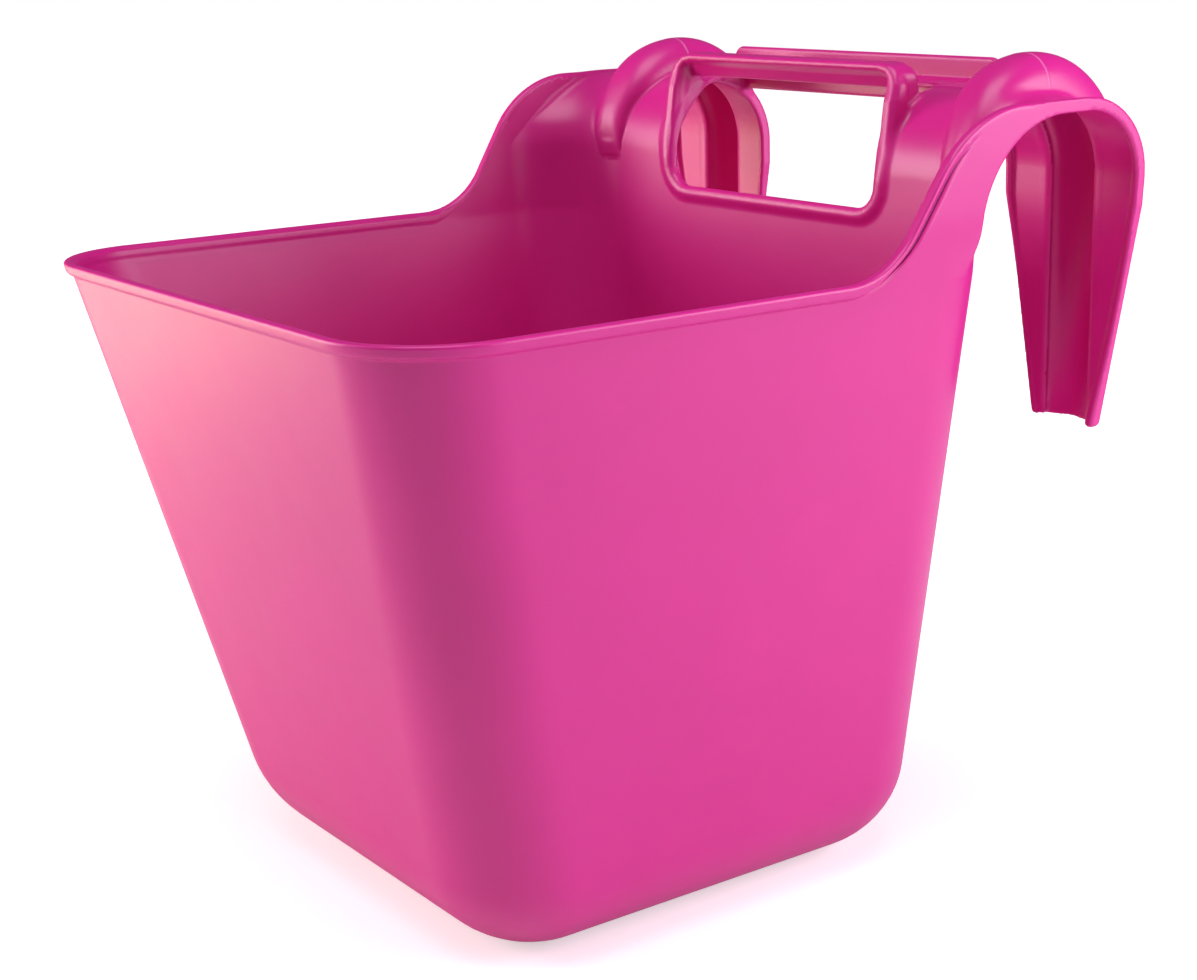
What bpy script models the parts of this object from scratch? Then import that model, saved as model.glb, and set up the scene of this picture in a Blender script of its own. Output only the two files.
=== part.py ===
"""Hook-over feed bucket, about 14 litres, moulded in one flexible plastic.

A tapered tub with rounded corners hangs from a door or rail by two broad
hooks. Each hook is a thin sheet that rolls over from the back wall, stiffened
by a hollow half-round ridge. A window between the hooks makes a carry handle.

The real bucket is one moulding. Here each region of it is its own solid, with
a hairline gap to the next, so that each can be named, edited and tested.

Sizes are in millimetres until mesh_object() turns them into metres. The origin
is the centre of the flat base, -Y is the front and +Z is up.
"""

import math

import bmesh
import bpy

MM = 0.001
SEAM = 0.3  # hairline gap between neighbouring regions

# Tub: outer sizes at the sharp corner of the base and at the top of the wall
WALL = 2.5
BASE_HALF_WIDTH = 105.5
TOP_HALF_WIDTH = 148.7
BASE_FRONT_Y = -110.0
TOP_FRONT_Y = -169.5
BACK_Y = 110.0
WALL_TOP_Z = 254.3
CORNER_R = 42.0
FLOOR_FILLET = 40.0

# Rim lip: a bead 5 mm deep, proud of the wall
RIM_Z = 259.6
LIP_DEPTH = 5.0
LIP_PROUD = 2.2
LIP_WIDE = 5.0  # width of the bead on the shoulders

# Shoulder: the rim rises from its foot to the crest in two arcs
SHOULDER_FOOT_Y = 21.0
SHOULDER_LOW_R = 36.5
SHOULDER_HIGH_R = 50.0
SHOULDER_SLOPE = math.radians(57.5)
CREST_Z = 319.5
CHEEK_SLOPE = 0.055  # how little the side leans out above the rim
ARCH_Y, ARCH_Z, ARCH_R = 129.0, 273.0, 41.6  # lower edge of the side plate

# Roll-over: half a turn from the back wall to the hanging arms
ROLL_R = 34.5
ROLL_Y = BACK_Y - WALL + ROLL_R
ROLL_Z = 285.7
BEAD = 5.0  # depth of the thickened edge over the crest
ARM_BEAD = 3.1  # and on the hanging arm
ARM_BEAD_Z = 262.0
BEAD_WIDE = 3.2

# Hooks
HOOK_X = 115.0
HOOK_INNER_X = 80.0
HOOK_OUTER_X = 150.0
ARM_TAPER_Z = 275.0
FOOT_Z = 184.0
FOOT_HALF_WIDTH = 18.2

# Ridge: a half-round swelling on the convex side, hollow beneath
RIDGE_HALF = 14.5
RIDGE_WALL = 4.0  # plastic on each flank of the hollow under the ridge
RIDGE_MID = 15.5  # height over the crest
RIDGE_SKEW = 5.5  # taller behind than in front
RIDGE_FOOT = 4.0
RIDGE_END_Z = 283.5  # the rounded point in front
RIDGE_FULL_Z = 306.0

# Handle window, its frame and the strip behind it
WINDOW_HALF = 69.5
WINDOW_SILL_Z = 270.8
WINDOW_R = 12.0
BAR_FRONT_Y, BAR_BACK_Y = 113.6, 125.2
BAR_LOW_Z, BAR_TOP_Z = 320.6, 332.0
POST_THICK = 5.0
SLOT_BACK_Y = 151.0
STRIP_Y = 160.0
STRIP_THICK = 3.0
STRIP_TOP_Z = 331.6
STRIP_HALF = 87.0
LEDGE_RISE = 1.4

PINK = (0.72, 0.035, 0.28, 1.0)


def clear_scene():
    """Remove whatever the scene holds."""
    for obj in list(bpy.data.objects):
        bpy.data.objects.remove(obj, do_unlink=True)


def collection(name):
    """A new collection under the scene's own."""
    made = bpy.data.collections.new(name)
    bpy.context.scene.collection.children.link(made)
    return made


def plastic(name, shade=1.0):
    """Satin moulded plastic in the bucket's pink."""
    material = bpy.data.materials.new(name)
    material.use_nodes = True
    shader = material.node_tree.nodes["Principled BSDF"]
    shader.inputs["Base Color"].default_value = [c * shade for c in PINK[:3]] + [1.0]
    shader.inputs["Roughness"].default_value = 0.38
    shader.inputs["Metallic"].default_value = 0.0
    material.diffuse_color = shader.inputs["Base Color"].default_value
    return material


def mesh_object(name, points, faces, group, shade=1.0):
    """An object from points in millimetres, smooth, with its own material."""
    mesh = bpy.data.meshes.new(name)
    mesh.from_pydata([[c * MM for c in p] for p in points], [], faces)
    bm = bmesh.new()
    bm.from_mesh(mesh)
    bmesh.ops.recalc_face_normals(bm, faces=bm.faces)
    bm.to_mesh(mesh)
    bm.free()
    mesh.shade_smooth()
    mesh.set_sharp_from_angle(angle=math.radians(35))
    mesh.materials.append(plastic(name + "_plastic", shade))
    obj = bpy.data.objects.new(name, mesh)
    group.objects.link(obj)
    return obj


def mirrored(points):
    """The same points on the left side."""
    return [(-x, y, z) for x, y, z in points]


def smooth_step(value, low, high):
    """0 below low, 1 above high, and an easy S between."""
    t = min(1.0, max(0.0, (value - low) / (high - low)))
    return t * t * (3 - 2 * t)


def mix(a, b, t):
    """The value a fraction t of the way from a to b."""
    return a + (b - a) * t


def arc(centre, radius, start, end, steps):
    """Points on a circle in the Y-Z plane, angles in radians."""
    return [
        (
            centre[0] + radius * math.cos(mix(start, end, i / steps)),
            centre[1] + radius * math.sin(mix(start, end, i / steps)),
        )
        for i in range(steps + 1)
    ]


def slab(name, tops, unders, group, shade=1.0):
    """A closed sheet from two matching grids of points, one for each face."""
    rows, cols = len(tops), len(tops[0])
    points = [p for row in tops for p in row] + [p for row in unders for p in row]
    below = rows * cols
    faces = []
    for i in range(rows - 1):
        for j in range(cols - 1):
            a, b = i * cols + j, (i + 1) * cols + j
            faces.append((a, a + 1, b + 1, b))
            faces.append((below + a, below + b, below + b + 1, below + a + 1))
    for i in range(rows - 1):
        for j in (0, cols - 1):
            a, b = i * cols + j, (i + 1) * cols + j
            faces.append((a, b, below + b, below + a))
    for j in range(cols - 1):
        for i in (0, rows - 1):
            a = i * cols + j
            faces.append((a, below + a, below + a + 1, a + 1))
    return mesh_object(name, points, faces, group, shade)


def plate(name, outline, thickness, place, group, shade=1.0):
    """A flat outline in the Y-Z or X-Z plane, given its thickness both ways."""
    near = [place(a, b, -thickness / 2) for a, b in outline]
    far = [place(a, b, thickness / 2) for a, b in outline]
    count = len(outline)
    faces = [tuple(range(count)), tuple(range(2 * count - 1, count - 1, -1))]
    for i in range(count):
        j = (i + 1) % count
        faces.append((i, count + i, count + j, j))
    return mesh_object(name, near + far, faces, group, shade)


def soften(obj, width, segments=2):
    """Round an object's sharp edges."""
    bevel = obj.modifiers.new("softened_edges", "BEVEL")
    bevel.width = width * MM
    bevel.segments = segments
    bevel.limit_method = "ANGLE"
    bevel.angle_limit = math.radians(40)
    return bevel


# Tub


def half_width(z):
    """Outer half width of the tub at this height."""
    return mix(BASE_HALF_WIDTH, TOP_HALF_WIDTH, z / RIM_Z)


def front_y(z):
    """Outer face of the front wall at this height."""
    return mix(BASE_FRONT_Y, TOP_FRONT_Y, z / RIM_Z)


def ring(z, corner_steps=7):
    """Outline of the tub at one height: a rounded rectangle, drawn in below."""
    low = max(0.0, FLOOR_FILLET - z)
    inset = FLOOR_FILLET - math.sqrt(FLOOR_FILLET**2 - low**2)
    radius = CORNER_R - inset
    across, near, far = half_width(z) - inset, front_y(z) + inset, BACK_Y - inset
    corners = (
        (across - radius, near + radius, -90),
        (across - radius, far - radius, 0),
        (radius - across, far - radius, 90),
        (radius - across, near + radius, 180),
    )
    outline = []
    for cx, cy, start in corners:
        for i in range(corner_steps + 1):
            turn = math.radians(start + 90 * i / corner_steps)
            outline.append((cx + radius * math.cos(turn), cy + radius * math.sin(turn), z))
    return outline


def build_tub(group):
    """Floor and walls as one open surface, thickened inwards."""
    fillet = [
        FLOOR_FILLET * (1 - math.cos(math.radians(a))) for a in (0, 18, 34, 50, 64, 78)
    ]
    heights = fillet + [FLOOR_FILLET + 12, 120, 190, WALL_TOP_Z - 0.7]
    rings = [ring(z) for z in heights]
    count = len(rings[0])
    points = [p for outline in rings for p in outline]
    faces = [tuple(range(count - 1, -1, -1))]
    for level in range(len(rings) - 1):
        for i in range(count):
            j = (i + 1) % count
            a, b = level * count, (level + 1) * count
            faces.append((a + i, a + j, b + j, b + i))
    tub = mesh_object("tub_shell", points, faces, group)
    shell = tub.modifiers.new("wall", "SOLIDIFY")
    shell.thickness = WALL * MM
    shell.offset = -1.0
    shell.use_even_offset = True
    return tub


# Rim lip and shoulders


def shoulder_path():
    """Top edge of the side, from the foot of the rise to the crest."""
    low_centre = (SHOULDER_FOOT_Y, RIM_Z + SHOULDER_LOW_R)
    low = arc(low_centre, SHOULDER_LOW_R, -math.pi / 2, SHOULDER_SLOPE - math.pi / 2, 7)
    high_z = CREST_Z - SHOULDER_HIGH_R
    start = high_z + SHOULDER_HIGH_R * math.cos(SHOULDER_SLOPE)
    run = (start - low[-1][1]) / math.tan(SHOULDER_SLOPE)
    high_y = low[-1][0] + run + SHOULDER_HIGH_R * math.sin(SHOULDER_SLOPE)
    high = arc(
        (high_y, high_z), SHOULDER_HIGH_R, math.pi / 2 + SHOULDER_SLOPE, math.pi / 2, 8
    )
    level = [(mix(high_y, ROLL_Y, t), CREST_Z) for t in (0.35, 0.7, 0.97)]
    return low + high + level


def offset_path(path, depth):
    """The path moved down and back by a depth, square to its own run."""
    moved = []
    for i, (y, z) in enumerate(path):
        before, after = path[max(0, i - 1)], path[min(len(path) - 1, i + 1)]
        run, rise = after[0] - before[0], after[1] - before[1]
        length = math.hypot(run, rise)
        moved.append((y + depth * rise / length, z - depth * run / length))
    return moved


def side_x(z):
    """Outer face of the side plate above the rim, nearly upright."""
    return half_width(WALL_TOP_Z) + CHEEK_SLOPE * (z - WALL_TOP_Z)


def lip_side(path):
    """The bead on one shoulder."""
    tops, unders = [], []
    for (y, z), (low_y, low_z) in zip(path, offset_path(path, LIP_DEPTH)):
        wide = mix(
            WALL + LIP_PROUD, LIP_WIDE, smooth_step(y, SHOULDER_FOOT_Y, SHOULDER_FOOT_Y + 38)
        )
        outer = side_x(z) + LIP_PROUD
        tops.append([(outer - f * wide, y, z) for f in (0.0, 0.5, 1.0)])
        unders.append([(outer - f * wide, low_y, low_z) for f in (0.0, 0.5, 1.0)])
    return tops, unders


def build_rim_lip(group):
    """The bead round the front and sides, climbing both shoulders."""
    path = shoulder_path()
    right_tops, right_unders = lip_side(path)
    tops, unders = list(reversed(right_tops)), list(reversed(right_unders))
    outline = [p for p in ring(WALL_TOP_Z) if p[1] < SHOULDER_FOOT_Y]
    right_half = [p for p in outline if p[0] > 0]
    left_half = [p for p in outline if p[0] < 0]
    for side, sign in ((list(reversed(right_half)), 1), (list(reversed(left_half)), -1)):
        for x, y, _ in side:
            centre_x = sign * (half_width(WALL_TOP_Z) - CORNER_R)
            centre_y = front_y(WALL_TOP_Z) + CORNER_R
            out_x, out_y = (x - centre_x) / CORNER_R, (y - centre_y) / CORNER_R
            for row, z in ((tops, RIM_Z), (unders, RIM_Z - LIP_DEPTH)):
                row.append(
                    [
                        (x + d * out_x, y + d * out_y, z)
                        for d in (LIP_PROUD, (LIP_PROUD - WALL) / 2, -WALL)
                    ]
                )
    tops += [mirrored(row) for row in right_tops]
    unders += [mirrored(row) for row in right_unders]
    return slab("rim_lip", tops, unders, group, 1.06)


def arch_z(y):
    """Lower edge of the side plate behind the tub's corner."""
    return ARCH_Z + math.sqrt(max(0.0, ARCH_R**2 - min(0.0, y - ARCH_Y) ** 2))


def plate_x(y, z, depth):
    """Face of the side plate: it leaves the tub's round corner as it rises."""
    centre_x, centre_y = half_width(WALL_TOP_Z) - CORNER_R, BACK_Y - CORNER_R
    behind = max(0.0, y - centre_y)
    turned = centre_x + math.sqrt(max(0.0, (CORNER_R - depth) ** 2 - behind**2))
    return mix(turned, side_x(z) - depth, smooth_step(z, WALL_TOP_Z, ARM_TAPER_Z))


def build_shoulder(side, group):
    """The flat cheek between the rising lip and the arch under the hook."""
    top_edge = [
        p for p in offset_path(shoulder_path(), LIP_DEPTH + SEAM) if 30 < p[0] < ARCH_Y - 6
    ]
    outer, inner = [], []
    for y, high in top_edge:
        behind = y > ARCH_Y - ARCH_R
        low = arch_z(y) if behind else WALL_TOP_Z + SEAM
        heights = [mix(low, high, t) for t in (0.0, 0.25, 0.5, 0.75, 1.0)]
        outer.append([(plate_x(y, z, 0.0), y, z) for z in heights])
        inner.append([(plate_x(y, z, WALL), y, z) for z in heights])
    if side == "left":
        outer, inner = [mirrored(r) for r in outer], [mirrored(r) for r in inner]
    return slab(f"{side}_shoulder", outer, inner, group)


# Hooks


def ridge_share(station):
    """Share of its full width that the ridge has: it is drawn to a point in front."""
    kind, value = station
    if kind == "wall":
        return 0.0
    if kind != "roll" or value < math.pi / 2:
        return 1.0
    z = ROLL_Z + ROLL_R * math.sin(value)
    ahead = max(0.0, RIDGE_FULL_Z - z) / (RIDGE_FULL_Z - RIDGE_END_Z)
    return (1 - ahead**1.6) ** 0.625


def ridge_height(station):
    """Height of the ridge: taller behind, and lower in front."""
    kind, value = station
    if kind == "wall":
        return 0.0
    if kind == "crest":
        return RIDGE_MID
    if kind == "roll":
        full = RIDGE_MID + RIDGE_SKEW * math.cos(value)
        return full * ridge_share(station)
    return mix(RIDGE_FOOT, RIDGE_MID + RIDGE_SKEW, (value - FOOT_Z) / (ROLL_Z - FOOT_Z))


def ridge_lift(x, half, height):
    """Lift of one face of the sheet at this place across the ridge."""
    if half <= 0:
        return 0.0
    across = (x - HOOK_X) / half
    return height * math.sqrt(max(0.0, 1 - across * across))


def sheet_point(x, station, depth):
    """A point of the hook's sheet, at a depth under its convex face."""
    kind, value = station
    half = RIDGE_HALF * ridge_share(station) - (RIDGE_WALL if depth else 0.0)
    lift = ridge_lift(x, half, ridge_height(station))
    if kind == "arm":
        return x, ROLL_Y + ROLL_R - depth + lift, value
    centre_x, centre_y = half_width(WALL_TOP_Z) - CORNER_R, BACK_Y - CORNER_R
    reach = CORNER_R - WALL
    bend = min(reach, max(0.0, x - centre_x))
    wall_y = centre_y + math.sqrt(reach**2 - bend**2) + depth
    if depth and bend > 0:
        wall_y = centre_y + math.sqrt((reach + depth) ** 2 - bend**2)
    if kind == "wall":
        return x, wall_y - lift, value
    up = ROLL_R - depth + lift
    if kind == "crest":
        return x, value, ROLL_Z + up
    if value < math.pi / 2 + 0.001 or bend == 0:
        return x, ROLL_Y + up * math.cos(value), ROLL_Z + up * math.sin(value)
    behind = ROLL_R + (ROLL_R - depth) * math.cos(value)
    curve_y = centre_y + math.sqrt((reach + behind) ** 2 - bend**2)
    y = min(ROLL_Y, curve_y) + lift * math.cos(value)
    return x, y, ROLL_Z + up * math.sin(value)


def across_hook(inner, outer, bead):
    """Places across the sheet, with their depth: edges are thickened beads."""
    ridge = [
        HOOK_X + RIDGE_HALF * math.sin(math.radians(a))
        for a in (-90, -68, -50, -32, -15, 0, 15, 32, 50, 68, 90)
    ]
    left = [(inner, bead), (inner + BEAD_WIDE, bead), (inner + BEAD_WIDE + 0.8, WALL)]
    right = [
        (outer - BEAD_WIDE - 0.8, WALL),
        (outer - BEAD_WIDE, bead),
        (outer, bead),
    ]
    middle = [(x, WALL) for x in ridge if left[-1][0] + 0.5 < x < right[0][0] - 0.5]
    return left + middle + right


def build_crown(side, group):
    """The bend of a hook, from the back wall over the crest to the arm."""
    start_z = WALL_TOP_Z + SEAM
    stations = [("wall", z) for z in (start_z, 264, 275)]
    stations += [("roll", math.radians(a)) for a in range(180, 95, -9)]
    stations += [("crest", ROLL_Y - 0.6)]
    stations += [("roll", math.radians(a)) for a in (90, 80, 68, 56, 44, 32, 20, 8, 0)]
    tops, unders = [], []
    for station in stations:
        kind, value = station
        front = kind != "roll" or value > math.pi / 2 + 0.01
        grown = smooth_step(math.pi - value, 0.0, 0.6) if kind == "roll" else 0.0
        grown = 1.0 if kind == "crest" else grown
        bead = mix(WALL + 0.2, BEAD, grown)
        outer = HOOK_OUTER_X
        if kind == "wall":
            outer = mix(139.2, 144.4, smooth_step(value, start_z, ARM_TAPER_Z))
        elif front:
            rise = 1.0 if kind == "crest" else math.sin(value)
            outer = side_x(ROLL_Z + ROLL_R * rise) - WALL - 1.0
        spots = across_hook(HOOK_INNER_X + SEAM / 2, outer, bead)
        if front:
            spots = spots[:-3] + [(outer - 4, WALL), (outer - 1.6, WALL), (outer, WALL)]
        tops.append([sheet_point(x, station, 0.0) for x, _ in spots])
        unders.append([sheet_point(x, station, depth) for x, depth in spots])
    if side == "left":
        tops, unders = [mirrored(r) for r in tops], [mirrored(r) for r in unders]
    return slab(f"{side}_hook_crown", tops, unders, group, 0.97)


def arm_half_width(z):
    """Half width of the hanging arm: full at the top, drawn in to the foot."""
    full = (HOOK_OUTER_X - HOOK_INNER_X) / 2
    drawn = min(1.0, (z - FOOT_Z) / (ARM_TAPER_Z - FOOT_Z))
    return mix(FOOT_HALF_WIDTH, full, drawn)


def build_arm(side, group):
    """The hanging arm: a shallow channel that tapers to a round-cornered foot."""
    tops, unders = [], []
    for z in (ROLL_Z - SEAM, 280, ARM_TAPER_Z, 262, 240, 218, 200, 190, 186, FOOT_Z):
        station = ("arm", z)
        round_off = 3.0 * (1 - math.sqrt(1 - (max(0.0, 187.0 - z) / 3.0) ** 2))
        half = arm_half_width(z) - round_off
        inner = HOOK_X - half + (SEAM / 2 if z > ARM_TAPER_Z else 0)
        ridge_scale = min(1.0, (half - BEAD_WIDE - 1.2) / RIDGE_HALF)
        bead = mix(ARM_BEAD, BEAD, smooth_step(z, ARM_BEAD_Z, ROLL_Z))
        row = []
        for x, depth in across_hook(HOOK_INNER_X, HOOK_OUTER_X, bead):
            offset = x - HOOK_X
            inside = abs(offset) <= RIDGE_HALF
            if inside:
                row.append((HOOK_X + offset * ridge_scale, x, depth))
            else:
                edge = 35.0 - abs(offset)
                row.append((HOOK_X + math.copysign(half - edge, offset), x, depth))
        row[0] = (inner, row[0][1], bead)
        tops.append([])
        unders.append([])
        for x, source_x, depth in row:
            tops[-1].append((x, sheet_point(source_x, station, 0.0)[1], z))
            unders[-1].append((x, sheet_point(source_x, station, depth)[1], z))
    if side == "left":
        tops, unders = [mirrored(r) for r in tops], [mirrored(r) for r in unders]
    return slab(f"{side}_hook_arm", tops, unders, group, 0.94)


# Back panel, handle and bridge


def build_back_panel(group):
    """The wall under the window, with an upright on each side of it."""
    edge = HOOK_INNER_X - SEAM / 2
    low, high = WALL_TOP_Z + SEAM, ROLL_Z - SEAM
    centre_x, centre_z = WINDOW_HALF - WINDOW_R, WINDOW_SILL_Z + WINDOW_R
    corner = arc((centre_x, centre_z), WINDOW_R, 0.0, -math.pi / 2, 6)
    right = [(WINDOW_HALF, high)] + corner
    left = [(-x, z) for x, z in reversed(right)]
    outline = [(-edge, low), (edge, low), (edge, high)] + right + left + [(-edge, high)]
    middle = BACK_Y - WALL / 2
    return plate(
        "back_panel", outline, WALL, lambda x, z, d: (x, middle + d, z), group
    )


def build_bridge(group):
    """The sheet that joins the hooks: two cheeks and the ledge behind the slot."""
    edge, slot = HOOK_INNER_X - SEAM / 2, WINDOW_HALF
    stations = [("roll", math.radians(a)) for a in range(180, 89, -10)]
    rows = [sheet_point(0, station, 0.0)[1:] for station in stations]
    under_rows = [sheet_point(0, station, WALL)[1:] for station in stations]
    flat = [(SLOT_BACK_Y, 0.5), (STRIP_Y - 4, 0.85), (STRIP_Y + STRIP_THICK, 1.0)]
    for y, rise in flat:
        rows.append((y, ROLL_Z + ROLL_R + LEDGE_RISE * rise))
        under_rows.append((y, ROLL_Z + ROLL_R + LEDGE_RISE * rise - WALL))
    front = len(stations) + 1
    points, faces = [], []
    columns = [-edge, -slot, slot, edge]
    for grid in (rows, under_rows):
        for y, z in grid:
            points += [(x, y, z) for x in columns]
    below = len(rows) * 4

    def cell(i, j):
        """Whether the sheet covers this cell of the grid."""
        return 0 <= i < len(rows) - 1 and 0 <= j < 3 and (j != 1 or i >= front - 1)

    for i in range(len(rows) - 1):
        for j in range(3):
            if not cell(i, j):
                continue
            a, b = i * 4 + j, (i + 1) * 4 + j
            faces.append((a, a + 1, b + 1, b))
            faces.append((below + a, below + b, below + b + 1, below + a + 1))
            sides = (
                (cell(i - 1, j), a, a + 1),
                (cell(i + 1, j), b + 1, b),
                (cell(i, j - 1), b, a),
                (cell(i, j + 1), a + 1, b + 1),
            )
            for covered, p, q in sides:
                if not covered:
                    faces.append((q, p, below + p, below + q))
    return mesh_object("top_bridge", points, faces, group)


def build_strip(group):
    """The upstanding strip that stiffens the rear of the bridge."""
    low = ROLL_Z + ROLL_R + LEDGE_RISE + SEAM
    radius = 6.0
    corner = arc((STRIP_HALF - radius, STRIP_TOP_Z - radius), radius, 0, math.pi / 2, 5)
    right = [(STRIP_HALF, low)] + corner
    outline = right + [(-x, z) for x, z in reversed(right)]
    middle = STRIP_Y + STRIP_THICK / 2
    strip = plate(
        "rear_strip",
        outline,
        STRIP_THICK,
        lambda x, z, d: (x, middle + d, z),
        group,
        1.03,
    )
    soften(strip, 0.8)
    return strip


def build_post(side, group):
    """The web at one end of the bar, standing on the rolled sheet."""
    sheet = arc(
        (ROLL_Y, ROLL_Z), ROLL_R + SEAM, math.radians(118), math.radians(155), 7
    )
    outline = sheet + [(109.0, 301.5), (111.2, 324.0), (114.4, 329.4)]
    outline += [(119.0, BAR_TOP_Z - 0.2), (122.8, 331.2), (125.6, 327.4)]
    sign = -1 if side == "left" else 1
    middle = WINDOW_HALF + POST_THICK / 2
    post = plate(
        f"{side}_handle_post",
        outline,
        POST_THICK,
        lambda y, z, d: (sign * (middle + d), y, z),
        group,
        1.03,
    )
    soften(post, 0.8)
    return post


def build_bar(group):
    """The grip: a round-edged bar between the posts."""
    bpy.ops.mesh.primitive_cube_add(size=1.0)
    bar = bpy.context.object
    bar.name = "handle_bar"
    bar.data.name = "handle_bar"
    for owner in list(bar.users_collection):
        owner.objects.unlink(bar)
    group.objects.link(bar)
    size = (2 * (WINDOW_HALF - SEAM), BAR_BACK_Y - BAR_FRONT_Y, BAR_TOP_Z - BAR_LOW_Z)
    for vertex in bar.data.vertices:
        vertex.co = [c * s * MM for c, s in zip(vertex.co, size)]
    bar.location = (
        0.0,
        (BAR_FRONT_Y + BAR_BACK_Y) / 2 * MM,
        (BAR_LOW_Z + BAR_TOP_Z) / 2 * MM,
    )
    bar.data.materials.append(plastic("handle_bar_plastic", 1.03))
    soften(bar, 3.0, 4)
    bar.data.shade_smooth()
    return bar


def main():
    """Build the bucket, region by region."""
    clear_scene()
    group = collection("hook_over_feed_bucket")
    build_tub(group)
    build_rim_lip(group)
    for side in ("left", "right"):
        build_shoulder(side, group)
        build_crown(side, group)
        build_arm(side, group)
        build_post(side, group)
    build_back_panel(group)
    build_bridge(group)
    build_strip(group)
    build_bar(group)


if __name__ == "__main__":
    main()
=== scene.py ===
"""Hook-over feed bucket in satin pink polyethylene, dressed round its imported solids.

The real bucket is one moulding, so the looks are one continuous skin: a lofted tub
and front rim, and an upper moulding of shoulders, rolled hooks and carry handle.
Sizes in the classes are millimetres. The studio's, those that end in _m, and all
that goes into a mesh are metres.
"""

import logging
import math
from collections.abc import Callable, Sequence
from dataclasses import dataclass
from enum import Enum

import bmesh
import bpy
import numpy as np
from mathutils import Matrix, Vector


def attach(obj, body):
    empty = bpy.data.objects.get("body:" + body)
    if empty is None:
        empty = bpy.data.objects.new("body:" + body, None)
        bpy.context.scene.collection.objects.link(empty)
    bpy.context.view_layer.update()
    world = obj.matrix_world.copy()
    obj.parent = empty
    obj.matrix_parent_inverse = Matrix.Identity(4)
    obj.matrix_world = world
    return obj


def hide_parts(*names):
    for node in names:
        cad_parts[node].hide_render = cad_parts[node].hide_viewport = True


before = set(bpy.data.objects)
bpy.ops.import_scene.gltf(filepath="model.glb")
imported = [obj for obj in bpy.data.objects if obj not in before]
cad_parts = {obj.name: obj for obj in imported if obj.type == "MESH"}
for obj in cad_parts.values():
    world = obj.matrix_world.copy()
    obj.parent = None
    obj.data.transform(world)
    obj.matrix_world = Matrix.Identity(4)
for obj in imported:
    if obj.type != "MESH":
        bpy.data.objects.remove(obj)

log = logging.getLogger("feed_bucket")
MM = 0.001
Array = np.ndarray
Value = float | np.ndarray
Pair = tuple[float, float]
Points = tuple[Array, Array, Array]


# Shared measures and small functions


@dataclass(frozen=True)
class Moulding:
    """Sizes that every region of the moulding shares, in millimetres."""

    wall: float = 2.5
    base_half: float = 105.5
    top_half: float = 148.7
    base_front: float = -110.0
    top_front: float = -169.5
    back: float = 110.0
    corner: float = 42.0
    fillet: float = 40.0
    rim_z: float = 259.6
    lip_deep: float = 5.0
    lip_proud: float = 2.2
    lip_round: float = 1.6
    crease: float = 1.2
    cheek_slope: float = 0.0525
    bend_z: float = 255.5
    bend_soft: float = 0.8
    bend_run: float = 36.0
    cut_z: float = 252.0
    cut_y: float = 15.0

    @property
    def lip_low(self) -> float:
        """Height of the lip's underside."""
        return self.rim_z - self.lip_deep

    def side(self, y: Array, z: Array) -> Array:
        """Outer face of the side: tapered, and nearly upright over the rim behind.

        Args:
            y: distances back.
            z: heights.

        Returns:
            Distances from the middle plane.
        """
        taper = (self.top_half - self.base_half) / self.rim_z
        soft = self.bend_soft * np.logaddexp(0.0, (z - self.bend_z) / self.bend_soft)
        upright = ease(y, self.cut_y, self.cut_y + self.bend_run)
        tapered = self.base_half + taper * z
        return tapered - (taper - self.cheek_slope) * soft * upright

    def front(self, z: Array) -> Array:
        """Outer face of the front wall at a height."""
        return self.base_front + (self.top_front - self.base_front) * z / self.rim_z

    def outline(self, x: Array, y: Array, z: Array) -> Array:
        """Signed distance to the tub's rounded outline at its height, below zero inside.

        Args:
            x, y, z: the points.

        Returns:
            One distance for each point.
        """
        near = self.front(z)
        middle, half = (near + self.back) / 2, (self.back - near) / 2
        across = np.abs(x) - self.side(y, z) + self.corner
        along = np.abs(y - middle) - half + self.corner
        outside = np.hypot(np.maximum(across, 0), np.maximum(along, 0))
        return outside + np.minimum(np.maximum(across, along), 0) - self.corner

    def lip(self, out: Array, z: Array) -> Array:
        """Section of wall and lip: out is the distance outside the wall's outer face.

        Args:
            out: distances outside the wall's outer face.
            z: heights.

        Returns:
            One distance for each point.
        """
        wide = self.wall + self.lip_proud
        bead = rounded_box(
            out - (self.lip_proud - wide / 2), z - (self.rim_z - self.lip_deep / 2),
            wide / 2, self.lip_deep / 2, self.lip_round,
        )
        wall = np.maximum(np.abs(out + self.wall / 2) - self.wall / 2, z - self.rim_z + 2)
        return smooth_min(wall, bead, self.crease)


def ease(value: Array, low: float, high: float) -> Array:
    """0 below low, 1 above high, and an easy S between."""
    t = np.clip((value - low) / (high - low), 0.0, 1.0)
    return t * t * (3 - 2 * t)


def mix(a: Array, b: Array, t: Array) -> Array:
    """The value a share t of the way from a to b."""
    return a + (b - a) * t


def smooth_min(a: Array, b: Array, reach: Value) -> Array:
    """The union of two solids, with a fillet as wide as reach."""
    share = np.maximum(reach - np.abs(a - b), 0.0) / reach
    return np.minimum(a, b) - share * share * reach / 4


def smooth_max(a: Array, b: Array, reach: Value) -> Array:
    """What two solids share, with its edge rounded as wide as reach."""
    return -smooth_min(-a, -b, reach)


def rounded_box(u: Array, v: Array, half_u: Value, half_v: Value, radius: Value) -> Array:
    """Signed distance to a rounded rectangle about the origin.

    Args:
        u, v: the points.
        half_u, half_v: half the width and height.
        radius: of the corners.

    Returns:
        One distance for each point.
    """
    across, up = np.abs(u) - half_u + radius, np.abs(v) - half_v + radius
    outside = np.hypot(np.maximum(across, 0), np.maximum(up, 0))
    return outside + np.minimum(np.maximum(across, up), 0) - radius


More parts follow.
